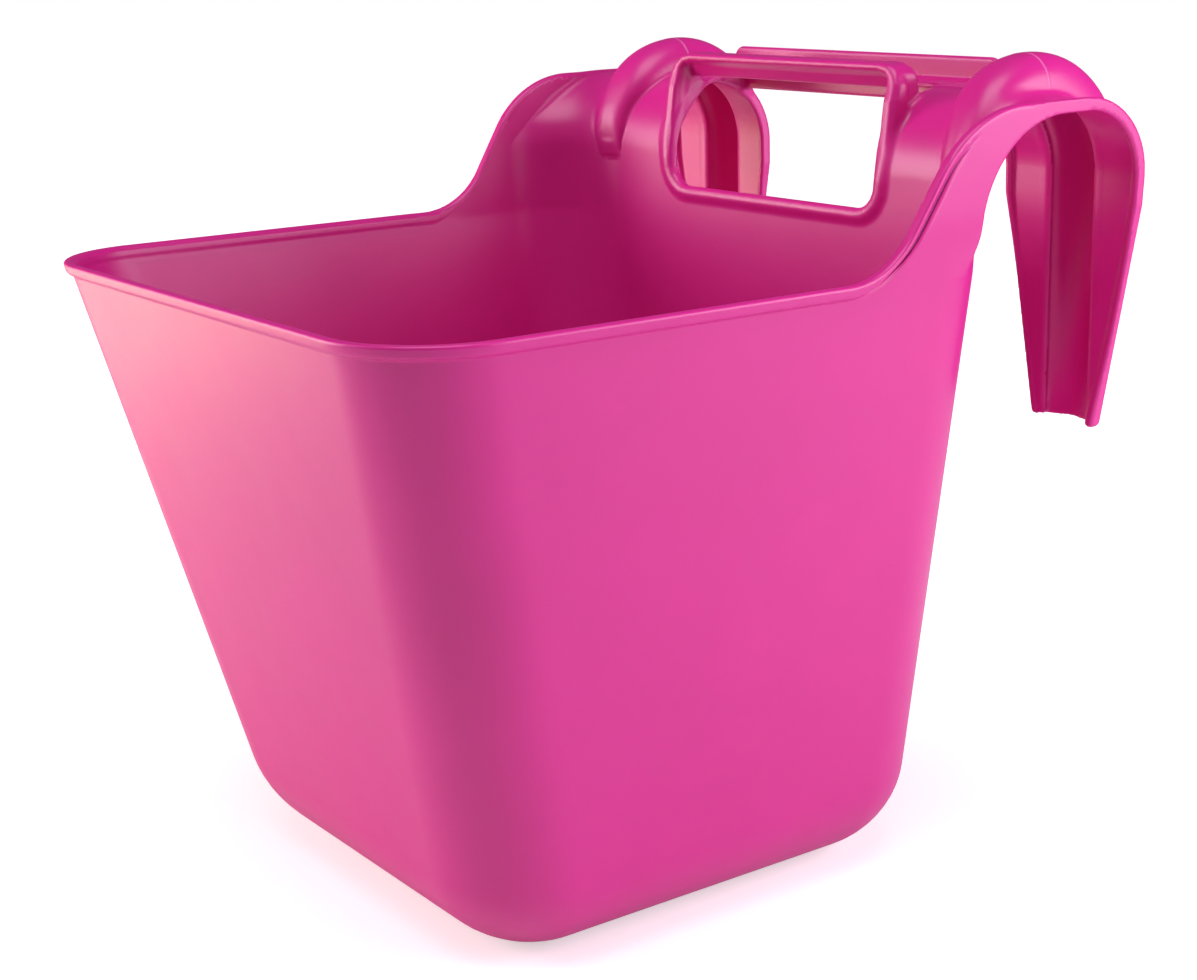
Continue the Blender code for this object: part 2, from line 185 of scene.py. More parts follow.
def polygon_distance(u: Array, v: Array, corners: Sequence[tuple[float, float]]) -> Array:
    """Signed distance to a closed outline, below zero inside it.

    Args:
        u, v: the points.
        corners: the outline's, in order.

    Returns:
        One distance for each point.
    """
    best = np.full(u.shape, np.inf)
    inside = np.zeros(u.shape, bool)
    for (au, av), (bu, bv) in zip(corners, [*corners[1:], corners[0]]):
        du, dv = bu - au, bv - av
        t = np.clip(((u - au) * du + (v - av) * dv) / (du * du + dv * dv), 0, 1)
        best = np.minimum(best, np.hypot(u - au - t * du, v - av - t * dv))
        if dv:
            crosses = (av > v) != (bv > v)
            inside ^= crosses & (u < au + (v - av) * du / dv)
    return np.where(inside, -best, best)


def rod_distance(
    x: Array, y: Array, z: Array, path: Sequence[tuple[float, float, float, float]]
) -> Array:
    """Distance to a round rod through points that each have x, y, z and a radius.

    Args:
        x, y, z: the points.
        path: the rod's points.

    Returns:
        One distance for each point.
    """
    best = np.full(x.shape, np.inf)
    for (ax, ay, az, ar), (bx, by, bz, br) in zip(path, path[1:]):
        dx, dy, dz = bx - ax, by - ay, bz - az
        length = dx * dx + dy * dy + dz * dz
        t = np.clip(((x - ax) * dx + (y - ay) * dy + (z - az) * dz) / length, 0, 1)
        off = np.sqrt(
            (x - ax - t * dx) ** 2 + (y - ay - t * dy) ** 2 + (z - az - t * dz) ** 2
        )
        best = np.minimum(best, off - mix(ar, br, t))
    return best


def near(box: Sequence[float], points: Points, shape: Callable) -> Array:
    """A distance worked out only inside a box, and large outside it.

    Args:
        box: lowest and highest x, y and z.
        points: the x, y and z arrays, all of one length.
        shape: takes the points inside the box and gives their distances.

    Returns:
        One distance for each point.
    """
    x, y, z = points
    inside = (x > box[0]) & (x < box[1]) & (y > box[2]) & (y < box[3])
    inside &= (z > box[4]) & (z < box[5])
    distance = np.full(x.shape, 1e3)
    if inside.any():
        distance[inside] = shape(x[inside], y[inside], z[inside])
    return distance


# Upper moulding: shoulders, hooks and carry handle as one solid


@dataclass
class UpperMoulding:
    """Everything above the tub and behind the front rim, as a field of distances.

    A pair of places is where one form begins to pass into the next, and where it has.
    """

    moulding: Moulding
    # The grid of samples, and where the arms need it below the cut
    pitch: float = 1.0
    grid_end: tuple[float, float, float] = (158.0, 202.0, 341.0)
    grid_spare: Pair = (3.3, 2.7)
    cut_spare: float = 4.0
    arm_y: float = 160.0
    arm_x: float = 72.0
    far: float = 9.0
    # The rim's climb, its lip and the shoulder under it, with the arch
    foot_y: float = 21.0
    low_r: float = 36.5
    high_r: float = 50.0
    slope: float = math.radians(57.5)
    crest_z: float = 319.5
    climb_deep: float = 3.4
    climb_in: Pair = (28.0, 45.0)
    climb_out: Pair = (90.0, 125.0)
    lip_sharp: float = 0.15
    lip_y: Pair = (24.0, 34.0)
    skirt_slope: float = 0.114
    flush_round: float = 0.8
    flush_y: Pair = (32.0, 50.0)
    plate_in: float = 2.0
    crown_thick: float = 3.0
    plate_y: Pair = (110.0, 138.0)
    arch: tuple[float, float, float] = (129.0, 273.0, 41.6)
    arch_under: float = 4.6
    arch_z: float = 286.0
    arch_round: float = 1.4
    band_y: Pair = (96.0, 136.0)
    # The valley under the climbing lip, and the mould's parting line
    valley: float = 0.9
    valley_half: float = 1.3
    valley_gap: float = 0.1
    valley_side: Pair = (-0.6, 0.2)
    valley_in: Pair = (28.0, 42.0)
    valley_out: Pair = (62.0, 84.0)
    parting_x: float = 132.0
    parting_y: float = 144.5
    parting_z: float = 318.0
    parting_share: float = 0.2
    parting_in: Pair = (321.0, 325.0)
    # The rolled sheet and the arm, with their thickened edges
    roll_r: float = 34.5
    roll_z: float = 285.7
    crown_rise: float = 1.5
    crown_x: Pair = (128.0, 142.0)
    crown_z: Pair = (296.0, 314.0)
    hook_x: float = 115.0
    inner_x: float = 80.0
    taper_z: float = 275.0
    foot_z: float = 180.6
    foot_half: float = 17.8
    foot_round: float = 2.5
    foot_top: float = 232.0
    foot_bead: float = 5.6
    foot_band: float = 4.4
    arm_top: float = 236.0
    arm_bead: float = 3.1
    bead: float = 5.0
    bead_wide: float = 3.2
    bead_round: float = 1.4
    bead_join: float = 1.0
    end_round: float = 3.0
    edge_in: float = 1.0
    edge_soft: float = 0.5
    arm_round: float = 1.2
    over_in: float = 0.3
    over_far: float = 30.0
    over_x: Pair = (130.0, 142.0)
    join_sharp: float = 0.05
    join_soft: float = 3.0
    join_rear: float = 2.2
    join_z: Pair = (296.0, 312.0)
    # The hollow ridge
    ridge_half: float = 14.5
    ridge_wall: float = 4.0
    ridge_mid: float = 15.5
    ridge_skew: float = 5.5
    ridge_foot: float = 4.0
    ridge_end: float = 276.0
    ridge_full: float = 304.0
    ridge_neck: float = 0.6
    ridge_tip: float = 0.7
    neck_z: Pair = (300.0, 322.0)
    neck_power: float = 1.1
    ridge_least: float = 0.3
    ridge_room: float = 19.0
    ridge_sunk: float = 0.2
    ridge_fillet: Pair = (2.2, 7.0)
    fillet_x: Pair = (0.0, 8.0)
    rear_fillet: float = 3.0
    fillet_y: float = 118.0
    fillet_tall: float = 6.0
    fillet_least: float = 0.04
    hollow_least: float = 3.0
    hollow_thin: float = 0.5
    hollow_round: float = 4.5
    # The window and the finger slot
    window_half: float = 69.5
    sill_z: float = 270.8
    window_r: float = 12.0
    window_y: float = 90.0
    window_tall: float = 100.0
    window_edge: float = 1.2
    slot_back: float = 151.0
    slot_round: float = 15.0
    slot_half: float = 50.0
    slot_edge: float = 1.0
    # The handle's ledge, strip, posts, bar and frame
    ledge_rise: float = 1.4
    ledge_half: float = 86.0
    ledge_lap: float = 2.0
    ledge_edge: float = 0.8
    strip_y: float = 160.0
    strip_thick: float = 3.0
    strip_top: float = 331.6
    strip_half: float = 87.0
    strip_low: float = 312.0
    strip_round: float = 6.0
    strip_join: float = 2.0
    edge_round: float = 1.6
    post_thick: float = 5.0
    web: Sequence[Pair] = (
        (124.0, 311.0), (109.0, 290.0), (108.6, 300.0), (110.6, 316.0), (112.6, 321.5),
        (114.2, 326.5), (116.6, 330.2), (120.0, 331.6), (122.8, 331.0), (125.6, 327.4),
        (127.5, 317.0),
    )
    grip: Sequence[Pair] = ((116.6, 329.4), (123.9, 331.0), (124.1, 322.2), (121.2, 321.9))
    grip_round: float = 1.2
    grip_x: float = 72.0
    frame_half: Pair = (77.6, 50.0)
    frame_round: float = 14.0
    frame_edge: float = 2.0
    rail_low: float = 108.6
    rail_r: float = 2.5
    rail_grow: Pair = (0.25, 0.28)
    rail_turn: tuple[float, float, float] = (57.5, 283.4, 14.6)
    rail_rise: Sequence[tuple[float, float, float, float]] = (
        (73.2, 111.4, 292.0, 4.4), (73.6, 113.6, 303.0, 4.5), (73.6, 115.4, 316.0, 4.4),
        (72.9, 116.4, 321.5, 4.0), (71.2, 116.4, 325.6, 3.2), (68.0, 116.2, 328.4, 2.5),
        (63.0, 116.0, 329.6, 2.0), (0.0, 116.0, 329.6, 2.0),
    )
    rail_join: float = 1.5
    grip_join: float = 3.0
    web_join: float = 2.5
    handle_x: float = 78.0
    handle_join: Pair = (3.0, 7.0)
    post_x: Pair = (74.0, 86.0)
    post_y: Pair = (150.0, 160.0)
    # Boxes that hold the handle's parts, as lowest and highest x, y and z
    ledge_box: Sequence[float] = (-1, 92, 136, 168, 300, 340)
    strip_box: Sequence[float] = (-1, 94, 150, 172, 300, 340)
    rail_box: Sequence[float] = (-1, 84, 96, 126, 260, 336)
    post_box: Sequence[float] = (60, 84, 98, 136, 280, 340)
    bar_box: Sequence[float] = (-1, 80, 104, 134, 312, 340)

    @property
    def roll_y(self) -> float:
        """Where the roll's centre is: its front touches the back wall's inner face."""
        return self.moulding.back - self.moulding.wall + self.roll_r

    def outer_x(self, z: Array) -> Array:
        """Outer edge of a hook: upright, then drawn in towards the foot.

        Args:
            z: heights.

        Returns:
            Distances from the middle plane.
        """
        m = self.moulding
        full = m.side(m.back, np.maximum(z, self.taper_z)) + m.lip_proud
        top = m.side(m.back, self.taper_z) + m.lip_proud
        foot = self.hook_x + self.foot_half
        drawn = (self.taper_z - z) / (self.taper_z - self.foot_z)
        return np.where(z > self.taper_z, full, top + (foot - top) * drawn)

    def inside_x(self, z: Array) -> Array:
        """Inner edge of a hook."""
        drawn = np.maximum(self.taper_z - z, 0) / (self.taper_z - self.foot_z)
        return self.inner_x + (self.hook_x - self.foot_half - self.inner_x) * drawn

    def above_sheet(self, x: Array, y: Array, z: Array) -> Array:
        """Height over the convex face of the sheet that rolls from wall to arm.

        Args:
            x, y, z: the points.

        Returns:
            One height for each point, below zero under the face.
        """
        m = self.moulding
        wall = -(m.outline(x, y, z) + m.wall)
        front = np.hypot(np.maximum(wall + self.roll_r, 0), z - self.roll_z) - self.roll_r
        behind = y > self.roll_y
        rear = np.hypot(y - self.roll_y, z - self.roll_z) - self.roll_r
        arm = y - self.roll_y - self.roll_r
        high = z > self.roll_z
        plain = np.where(high, np.where(behind, rear, front), np.where(behind, arm, wall))
        return plain + self.crown_rise * ease(x, *self.crown_x) * ease(z, *self.crown_z)

    def under_edge(self, y: Array, z: Array) -> Array:
        """Depth under the line of the rim as it climbs the shoulder and rolls over.

        Args:
            y: distances back.
            z: heights.

        Returns:
            One depth for each point.
        """
        m = self.moulding
        c1 = (self.foot_y, m.rim_z + self.low_r)
        p1 = (
            c1[0] + self.low_r * math.sin(self.slope),
            c1[1] - self.low_r * math.cos(self.slope),
        )
        c2z = self.crest_z - self.high_r
        run = (c2z + self.high_r * math.cos(self.slope) - p1[1]) / math.sin(self.slope)
        c2y = p1[0] + run * math.cos(self.slope) + self.high_r * math.sin(self.slope)
        ahead = (y - p1[0]) * math.cos(self.slope) + (z - p1[1]) * math.sin(self.slope)
        straight = (y - p1[0]) * math.sin(self.slope) - (z - p1[1]) * math.cos(self.slope)
        low = np.hypot(y - c1[0], z - c1[1]) - self.low_r
        high = self.high_r - np.hypot(y - c2y, z - c2z)
        level = np.where(y < c1[0], m.rim_z - z, low)
        top = np.where(y > c2y, self.crest_z - z, high)
        climb = np.where(ahead < 0, level, np.where(ahead > run, top, straight))
        edge_r = self.crest_z - self.roll_z
        rear = edge_r - np.hypot(y - self.roll_y, np.maximum(z - self.roll_z, 0))
        rear = rear + (self.roll_r - edge_r) * ease(-z, -self.crest_z, -self.roll_z)
        return np.where(y > self.roll_y, rear, climb)

    def arch_gap(self, y: Array, z: Array) -> Array:
        """Signed distance to the opening under the shoulder, below zero in it.

        Args:
            y: distances back.
            z: heights.

        Returns:
            One distance for each point.
        """
        cy, cz, r = self.arch
        under = self.crest_z - self.arch_under
        wall = cy - r - y
        curve = np.hypot(y - cy, z - cz) - r
        level = z - mix(cz + r, under, np.clip((y - cy) / (self.roll_y - cy), 0, 1))
        tail = under - self.arch_z
        rear = np.hypot(y - self.roll_y, np.maximum(z - self.arch_z, 0)) - tail
        front = np.where(z < cz, wall, curve)
        return np.where(y > self.roll_y, rear, np.where(y > cy, level, front))

    def ridge_share(self, y: Array, z: Array, height: Array) -> tuple[Array, Array]:
        """How the ridge draws in to a neck in front of the crest, and comes to a point.

        Args:
            y: distances back.
            z: heights.
            height: heights over the sheet.

        Returns:
            Shares of its full width and of its full height.
        """
        rise = (z - self.roll_z) * self.roll_r / np.maximum(self.roll_r + height, 1.0)
        base = np.where(z > self.roll_z, self.roll_z + rise, z)
        neck = mix(self.ridge_neck, 1.0, ease(base, *self.neck_z))
        left = ease(base, self.ridge_end, self.ridge_full)
        front = y < self.roll_y
        wide = np.where(front, neck * mix(self.ridge_tip, 1.0, left), 1.0)
        return wide, np.where(front, neck**self.neck_power * left, 1.0)

    def ridge_height(self, y: Array, z: Array) -> Array:
        """How far the ridge stands over the sheet: most behind, and little at the foot.

        Args:
            y: distances back.
            z: heights.

        Returns:
            One height for each point.
        """
        turn = np.arctan2(np.maximum(z - self.roll_z, 0.0), y - self.roll_y)
        rolled = self.ridge_mid + self.ridge_skew * np.cos(turn)
        share = (z - self.foot_z) / (self.roll_z - self.foot_z)
        arm = mix(self.ridge_foot, self.ridge_mid + self.ridge_skew, share)
        return np.where((y > self.roll_y) & (z < self.roll_z), arm, rolled)

    def hook_sheet(self, points: Points, height: Array) -> Array:
        """The rolled sheet with its hollow ridge, cut to a hook's outline.

        Args:
            points: the x, y and z arrays.
            height: each point's height over the sheet.

        Returns:
            One distance for each point.
        """
        m = self.moulding
        x, y, z = points
        behind = y > self.roll_y
        outer, inner = self.outer_x(z), self.inside_x(z)
        sheet = np.abs(height + m.wall / 2) - m.wall / 2
        share, rise = self.ridge_share(y, z, height)
        grown = self.ridge_height(y, z) * rise
        tall = np.maximum(grown, self.ridge_least)
        off = x - self.hook_x
        narrow = np.where(behind, np.minimum(1, (outer - inner) / 2 / self.ridge_room), 1.0)
        wide = self.ridge_half * narrow * share
        gone = 1 - ease(grown, 0.0, 1.0)
        ridge = self.bump(off, height, np.maximum(wide, 1.0), tall) + gone
        ridge = np.where(grown > self.ridge_least, ridge, self.far)
        fillet = mix(*self.ridge_fillet, ease(off, *self.fillet_x))
        fillet = mix(fillet, self.rear_fillet, ease(y, self.fillet_y, self.roll_y))
        fillet = fillet * np.clip(grown / self.fillet_tall, self.fillet_least, 1)
        solid = smooth_min(sheet, np.maximum(ridge, -(height + self.ridge_sunk)), fillet)
        inside = wide - self.ridge_wall
        size = np.minimum(inside, grown)
        faded = self.far * (1 - ease(size, self.ridge_least, self.hollow_least))
        hollow = self.bump(off, height + m.wall, np.maximum(inside, self.hollow_thin), tall) + faded
        hollow = np.where(size > self.ridge_least, hollow, self.far)
        solid = smooth_max(solid, -hollow, self.hollow_round)
        limits = smooth_max(inner - x, x - outer + self.edge_in, self.edge_soft)
        foot = smooth_max(limits, self.foot_z + self.edge_in - z, self.foot_round)
        front = np.maximum(
            x - m.side(y, z) - self.flush(y, z) + self.edge_in, m.back - m.corner - y
        )
        over = self.over_in - self.under_edge(y, z)
        front = np.maximum(front, over - self.over_far * (1 - ease(x, *self.over_x)))
        foot = smooth_max(solid, foot, self.arm_round)
        return np.where(behind, foot, np.maximum(solid, front))

    def flush(self, y: Array, z: Array) -> Array:
        """How far the shoulder's skirt stands out, to be level with the lip above.

        Args:
            y: distances back.
            z: heights.

        Returns:
            One distance out for each point.
        """
        m = self.moulding
        leaning = self.skirt_slope * np.maximum(z - m.bend_z, 0.0)
        return smooth_min(leaning, m.lip_proud, self.flush_round) * ease(y, *self.flush_y)

    def rim(self, points: Points) -> Array:
        """The side plate with its arch, and the lip along its upper edge.

        Args:
            points: the x, y and z arrays.

        Returns:
            One distance for each point.
        """
        m = self.moulding
        x, y, z = points
        behind = y > self.roll_y
        side, flush = m.side(y, z), self.flush(y, z)
        edge = self.under_edge(y, z)
        face = mix(m.outline(x, y, z), x - side, ease(z, m.lip_low, self.taper_z))
        thick = mix(m.wall + flush, self.crown_thick, ease(y, *self.plate_y))
        plate = np.abs(face - flush + thick / 2) - thick / 2
        plate = smooth_max(plate, -self.arch_gap(y, z), self.arch_round)
        plate = np.maximum(plate, self.plate_in - edge)
        plate = np.where(behind, 1e3, plate)
        band = mix(m.wall + m.lip_proud, self.bead_wide, ease(y, *self.band_y))
        foot = np.where(behind, 1 - ease(z, self.foot_z, self.foot_top), 0.0)
        band = mix(band, self.foot_band, foot)
        deep = np.where(behind, self.bead_depth(z), self.lip_depth(y))
        deep = mix(deep, self.foot_bead, foot)
        outer = np.where(behind, self.outer_x(z), side + m.lip_proud)
        lip = rounded_box(
            outer - x - band / 2, edge - deep / 2, band / 2, deep / 2,
            np.minimum(m.lip_round, deep / 2 - 0.1),
        )
        lip = smooth_max(lip, self.foot_z - z, self.end_round)
        reach = mix(m.crease, self.lip_sharp, ease(y, *self.lip_y))
        rim = smooth_min(plate, lip, reach)
        off, share = self.crease(x, y, z)
        return rim + self.valley * share * np.exp(-((off / self.valley_half) ** 2))

    def crease(self, x: Array, y: Array, z: Array) -> tuple[Array, Array]:
        """The valley between the climbing lip and the skirt under it.

        Args:
            x: distances to the side, all positive.
            y: distances back.
            z: heights.

        Returns:
            The distance from the valley's line, and its share of the full depth.
        """
        off = self.under_edge(y, z) - self.lip_depth(y) - self.valley_gap
        share = ease(y, *self.valley_in) * (1 - ease(y, *self.valley_out))
        return off, share * ease(x - self.moulding.side(y, z), *self.valley_side)

    def lip_depth(self, y: Array) -> Array:
        """Depth of the side lip, which draws in as it climbs."""
        climbing = ease(y, *self.climb_in) * (1 - ease(y, *self.climb_out))
        return mix(self.moulding.lip_deep, self.climb_deep, climbing)

    def seam(self, points: Array) -> Array:
        """Fine lines that are narrower than the grid: the crease under the climbing lip, and the
        mould's parting line over each ridge. The material bumps both lines, paints shade into the
        crease and paints a highlight onto the parting line.

        Args:
            points: the surface's points.

        Returns:
            For each, its distance from the line in millimetres, then how deep the line
            is there, from -1 for raised to 1 for sunk, and a zero.
        """
        x, y, z = np.abs(points[:, 0]), points[:, 1], points[:, 2]
        off, share = self.crease(x, y, z)
        crest = z > self.parting_z
        off = np.where(crest, y - self.parting_y, off)
        raised = self.parting_share * ease(z, *self.parting_in) * (x < self.parting_x)
        share = np.where(crest, -raised, share)
        return np.stack([off, share, 0 * off], axis=1)

    def bead_depth(self, z: Array) -> Array:
        """Depth of a hook's thickened edges."""
        return mix(self.arm_bead, self.bead, ease(z, self.arm_top, self.roll_z))

    def distance(self, x: Array, y: Array, z: Array) -> Array:
        """Signed distance to the whole upper moulding, in millimetres.

        Args:
            x, y, z: flat arrays of points; the left half mirrors the right.

        Returns:
            One distance for each point, below zero in the plastic.
        """
        m = self.moulding
        x = np.abs(x)
        points = (x, y, z)
        behind = y > self.roll_y
        height = self.above_sheet(x, y, z)
        solid = self.hook_sheet(points, height)
        # Window and finger slot
        tall = self.window_tall
        up = self.sill_z + tall - z
        opening = rounded_box(x, up, self.window_half, tall, self.window_r)
        opening = np.maximum(np.maximum(opening, self.slot(x, y)), self.window_y - y)
        solid = smooth_max(solid, -opening, self.window_edge)
        reach = mix(self.join_sharp, self.join_soft, ease(z, *self.join_z))
        reach = np.where(behind, self.join_rear, reach)
        solid = smooth_min(solid, self.rim(points), reach)
        # Bead on the inner edge of each hook
        inner, deep = self.inside_x(z), self.bead_depth(z)
        half = self.bead_wide / 2
        bead = rounded_box(x - inner - half, -height - deep / 2, half, deep / 2, self.bead_round)
        bead = smooth_max(bead, self.foot_z - z, self.end_round)
        bead = np.maximum(bead, self.roll_y - y)
        solid = smooth_min(solid, bead, self.bead_join)
        # No fillet may swell past the hook's own edges
        outer = np.where(behind, self.outer_x(z), m.side(y, z) + m.lip_proud)
        solid = np.maximum(solid, x - outer)
        beside = behind & (x > self.handle_x)
        solid = np.where(beside, np.maximum(solid, inner - x), solid)
        reach = mix(*self.handle_join, ease(x, *self.post_x) * ease(y, *self.post_y))
        return smooth_min(solid, self.handle(points, height), reach)

    def slot(self, x: Array, y: Array) -> Array:
        """Signed distance to the slot's outline from above, with round rear corners."""
        down = y - self.slot_back + self.slot_half
        return rounded_box(x, down, self.window_half, self.slot_half, self.slot_round)

    @staticmethod
    def bump(off: Array, height: Array, wide: Array, tall: Array) -> Array:
        """Distance to a half-round swelling of this half width and height.

        Args:
            off: distances from its middle line.
            height: heights over its base.
            wide, tall: its half width and height.

        Returns:
            One distance for each point.
        """
        u, v = off / wide, height / tall
        rho = np.hypot(u, v) + 1e-6
        steep = np.hypot(u / wide, v / tall) / rho
        return (rho - 1) / np.maximum(steep, 1e-3)

    def ledge(self, x: Array, y: Array, z: Array) -> Array:
        """The level sheet behind the slot, and the step down to the hook.

        Args:
            x, y, z: the points.

        Returns:
            One distance for each point.
        """
        half = self.moulding.wall / 2
        rear = self.strip_y + self.strip_thick
        top = self.roll_z + self.roll_r + self.ledge_rise * ease(y, self.roll_y, self.strip_y)
        flat = np.maximum(np.abs(z - top + half) - half, y - rear)
        flat = np.maximum(np.maximum(flat, x - self.ledge_half), self.roll_y - self.ledge_lap - y)
        flat = smooth_max(flat, -self.slot(x, y), self.slot_edge)
        return smooth_max(flat, y - rear, self.ledge_edge)

    def strip(self, x: Array, y: Array, z: Array) -> Array:
        """The upstanding strip at the rear.

        Args:
            x, y, z: the points.

        Returns:
            One distance for each point.
        """
        middle = (self.strip_low + self.strip_top) / 2
        high = self.strip_top - middle
        face = rounded_box(x, z - middle, self.strip_half, high, self.strip_round)
        half = self.strip_thick / 2
        return smooth_max(face, np.abs(y - self.strip_y - half) - half, self.edge_round)

    def post(self, x: Array, y: Array, z: Array) -> Array:
        """The web at each end of the bar.

        Args:
            x, y, z: the points.

        Returns:
            One distance for each point.
        """
        half = self.post_thick / 2
        thick = np.abs(x - self.window_half - half) - half
        return smooth_max(polygon_distance(y, z, self.web), thick, self.edge_round)

    def bar(self, x: Array, y: Array, z: Array) -> Array:
        """The grip, with a slanted face in front."""
        return np.maximum(polygon_distance(y, z, self.grip) - self.grip_round, x - self.grip_x)

    def rail(self, x: Array, y: Array, z: Array) -> Array:
        """The rounded rib that frames the window.

        Args:
            x, y, z: the points.

        Returns:
            One distance for each point.
        """
        low, first = self.rail_low, self.rail_r
        back, wider = self.rail_grow
        corner_x, corner_z, turn_r = self.rail_turn
        path = [(0.0, low, corner_z - turn_r, first)]
        for step, turn in enumerate(np.radians((0, 18, 36, 54, 72, 90))):
            x_out, z_out = corner_x + turn_r * math.sin(turn), corner_z - turn_r * math.cos(turn)
            path.append((x_out, low + back * step, z_out, first + wider * step))
        return rod_distance(x, y, z, [*path, *self.rail_rise])

    def handle(self, points: Points, height: Array) -> Array:
        """Ledge, strip, posts, bar and the rounded frame of the window.

        Args:
            points: the x, y and z arrays.
            height: each point's height over the sheet.

        Returns:
            One distance for each point.
        """
        ledge = near(self.ledge_box, points, self.ledge)
        strip = near(self.strip_box, points, self.strip)
        frame_rib = near(self.rail_box, points, self.rail)
        frame_rib = np.maximum(frame_rib, -(height + self.moulding.wall))
        webs = near(self.post_box, points, self.post)
        grip = near(self.bar_box, points, self.bar)
        webs = smooth_min(smooth_min(webs, frame_rib, self.rail_join), grip, self.grip_join)
        half_x, half_z = self.frame_half
        down = points[2] - self.strip_top + half_z
        corner = rounded_box(points[0], down, half_x, half_z, self.frame_round)
        webs = smooth_max(webs, corner, self.frame_edge)
        return smooth_min(smooth_min(ledge, strip, self.strip_join), webs, self.web_join)

    def samples(self) -> tuple[Array, tuple[float, float, float]]:
        """The field on a grid over the right half, mirrored to the whole width.

        Returns:
            The distances, and the place of the first.
        """
        m, step, (ahead, under) = self.moulding, self.pitch, self.grid_spare
        starts = (step / 2, m.cut_y - ahead, self.foot_z - under)
        xs, ys, zs = (np.arange(a, b, step) for a, b in zip(starts, self.grid_end))
        grid = np.full((len(xs), len(ys), len(zs)), 1.0, np.float32)
        x, y, z = np.meshgrid(xs, ys, zs, indexing="ij")
        used = (z > m.cut_z - self.cut_spare) | ((y > self.arm_y) & (x > self.arm_x))
        grid[used] = self.distance(x[used], y[used], z[used])
        grid[:, 0] = 1.0
        return np.concatenate([grid[::-1], grid]), (-xs[-1], ys[0], zs[0])


def cut_off(work: bmesh.types.BMesh, place: Vector, facing: Vector, behind: float) -> None:
    """Cuts a closed mesh off behind a plane, and closes the cut.

    Args:
        work: the mesh.
        place: a point of the plane.
        facing: the side that stays.
        behind: only faces in front of this y, in metres, are cut.
    """
    faces = [f for f in work.faces if f.calc_center_median().y < behind]
    # Each once and in order, so that every run gives the same mesh
    edges = dict.fromkeys(e for f in faces for e in f.edges)
    verts = dict.fromkeys(v for f in faces for v in f.verts)
    cut = bmesh.ops.bisect_plane(
        work, geom=[*verts, *edges, *faces], dist=1e-7, plane_co=place,
        plane_no=facing, clear_inner=True,
    )["geom_cut"]
    edges = [e for e in cut if isinstance(e, bmesh.types.BMEdge) and e.is_boundary]
    if edges:
        bmesh.ops.triangle_fill(work, use_beauty=True, edges=edges)


@dataclass
class Region:
    """One piece of the upper moulding, kept between two upright planes."""

    name: str
    low_x: float
    high_x: float
    replaced: Sequence[str]
    past_back_m: float = 1.0
    least_facing: float = 0.3

    def build(
        self, whole: bmesh.types.BMesh, upper: UpperMoulding, material: bpy.types.Material
    ) -> bpy.types.Object:
        """The piece cut from the whole surface, closed where it meets its neighbours.

        Args:
            whole: the closed surface of the upper moulding.
            upper: its field, for the normals.
            material: the finish.

        Returns:
            The finished piece.
        """
        work = whole.copy()
        for place, facing in ((self.low_x, 1), (self.high_x, -1)):
            cut_off(work, Vector((place * MM, 0, 0)), Vector((facing, 0, 0)), self.past_back_m)
        bmesh.ops.recalc_face_normals(work, faces=work.faces)
        obj = plain_mesh(self.name, [], [])
        mesh = obj.data
        work.to_mesh(mesh)
        work.free()
        mesh.materials.append(material)
        flat = np.empty(len(mesh.vertices) * 3)
        mesh.vertices.foreach_get("co", flat)
        places = flat.reshape(-1, 3) / MM
        _, normals = project(places, upper.distance, 0)
        # The material paints shade into the crease and a highlight onto the parting line from this
        # attribute
        seam = mesh.attributes.new("seam", "FLOAT_VECTOR", "POINT")
        seam.data.foreach_set("vector", upper.seam(places).ravel())
        mesh.shade_smooth()
        corners = np.empty(len(mesh.loops), np.int32)
        mesh.loops.foreach_get("vertex_index", corners)
        sides = np.empty(len(mesh.polygons), np.int32)
        mesh.polygons.foreach_get("loop_total", sides)
        flat = np.empty(len(mesh.polygons) * 3, np.float32)
        mesh.polygons.foreach_get("normal", flat)
        facing = np.repeat(flat.reshape(-1, 3), sides, axis=0)
        smooth = normals[corners]
        turned = (smooth * facing).sum(axis=1) < self.least_facing
        smooth[turned] = facing[turned]
        mesh.normals_split_custom_set(smooth.tolist())
        return obj


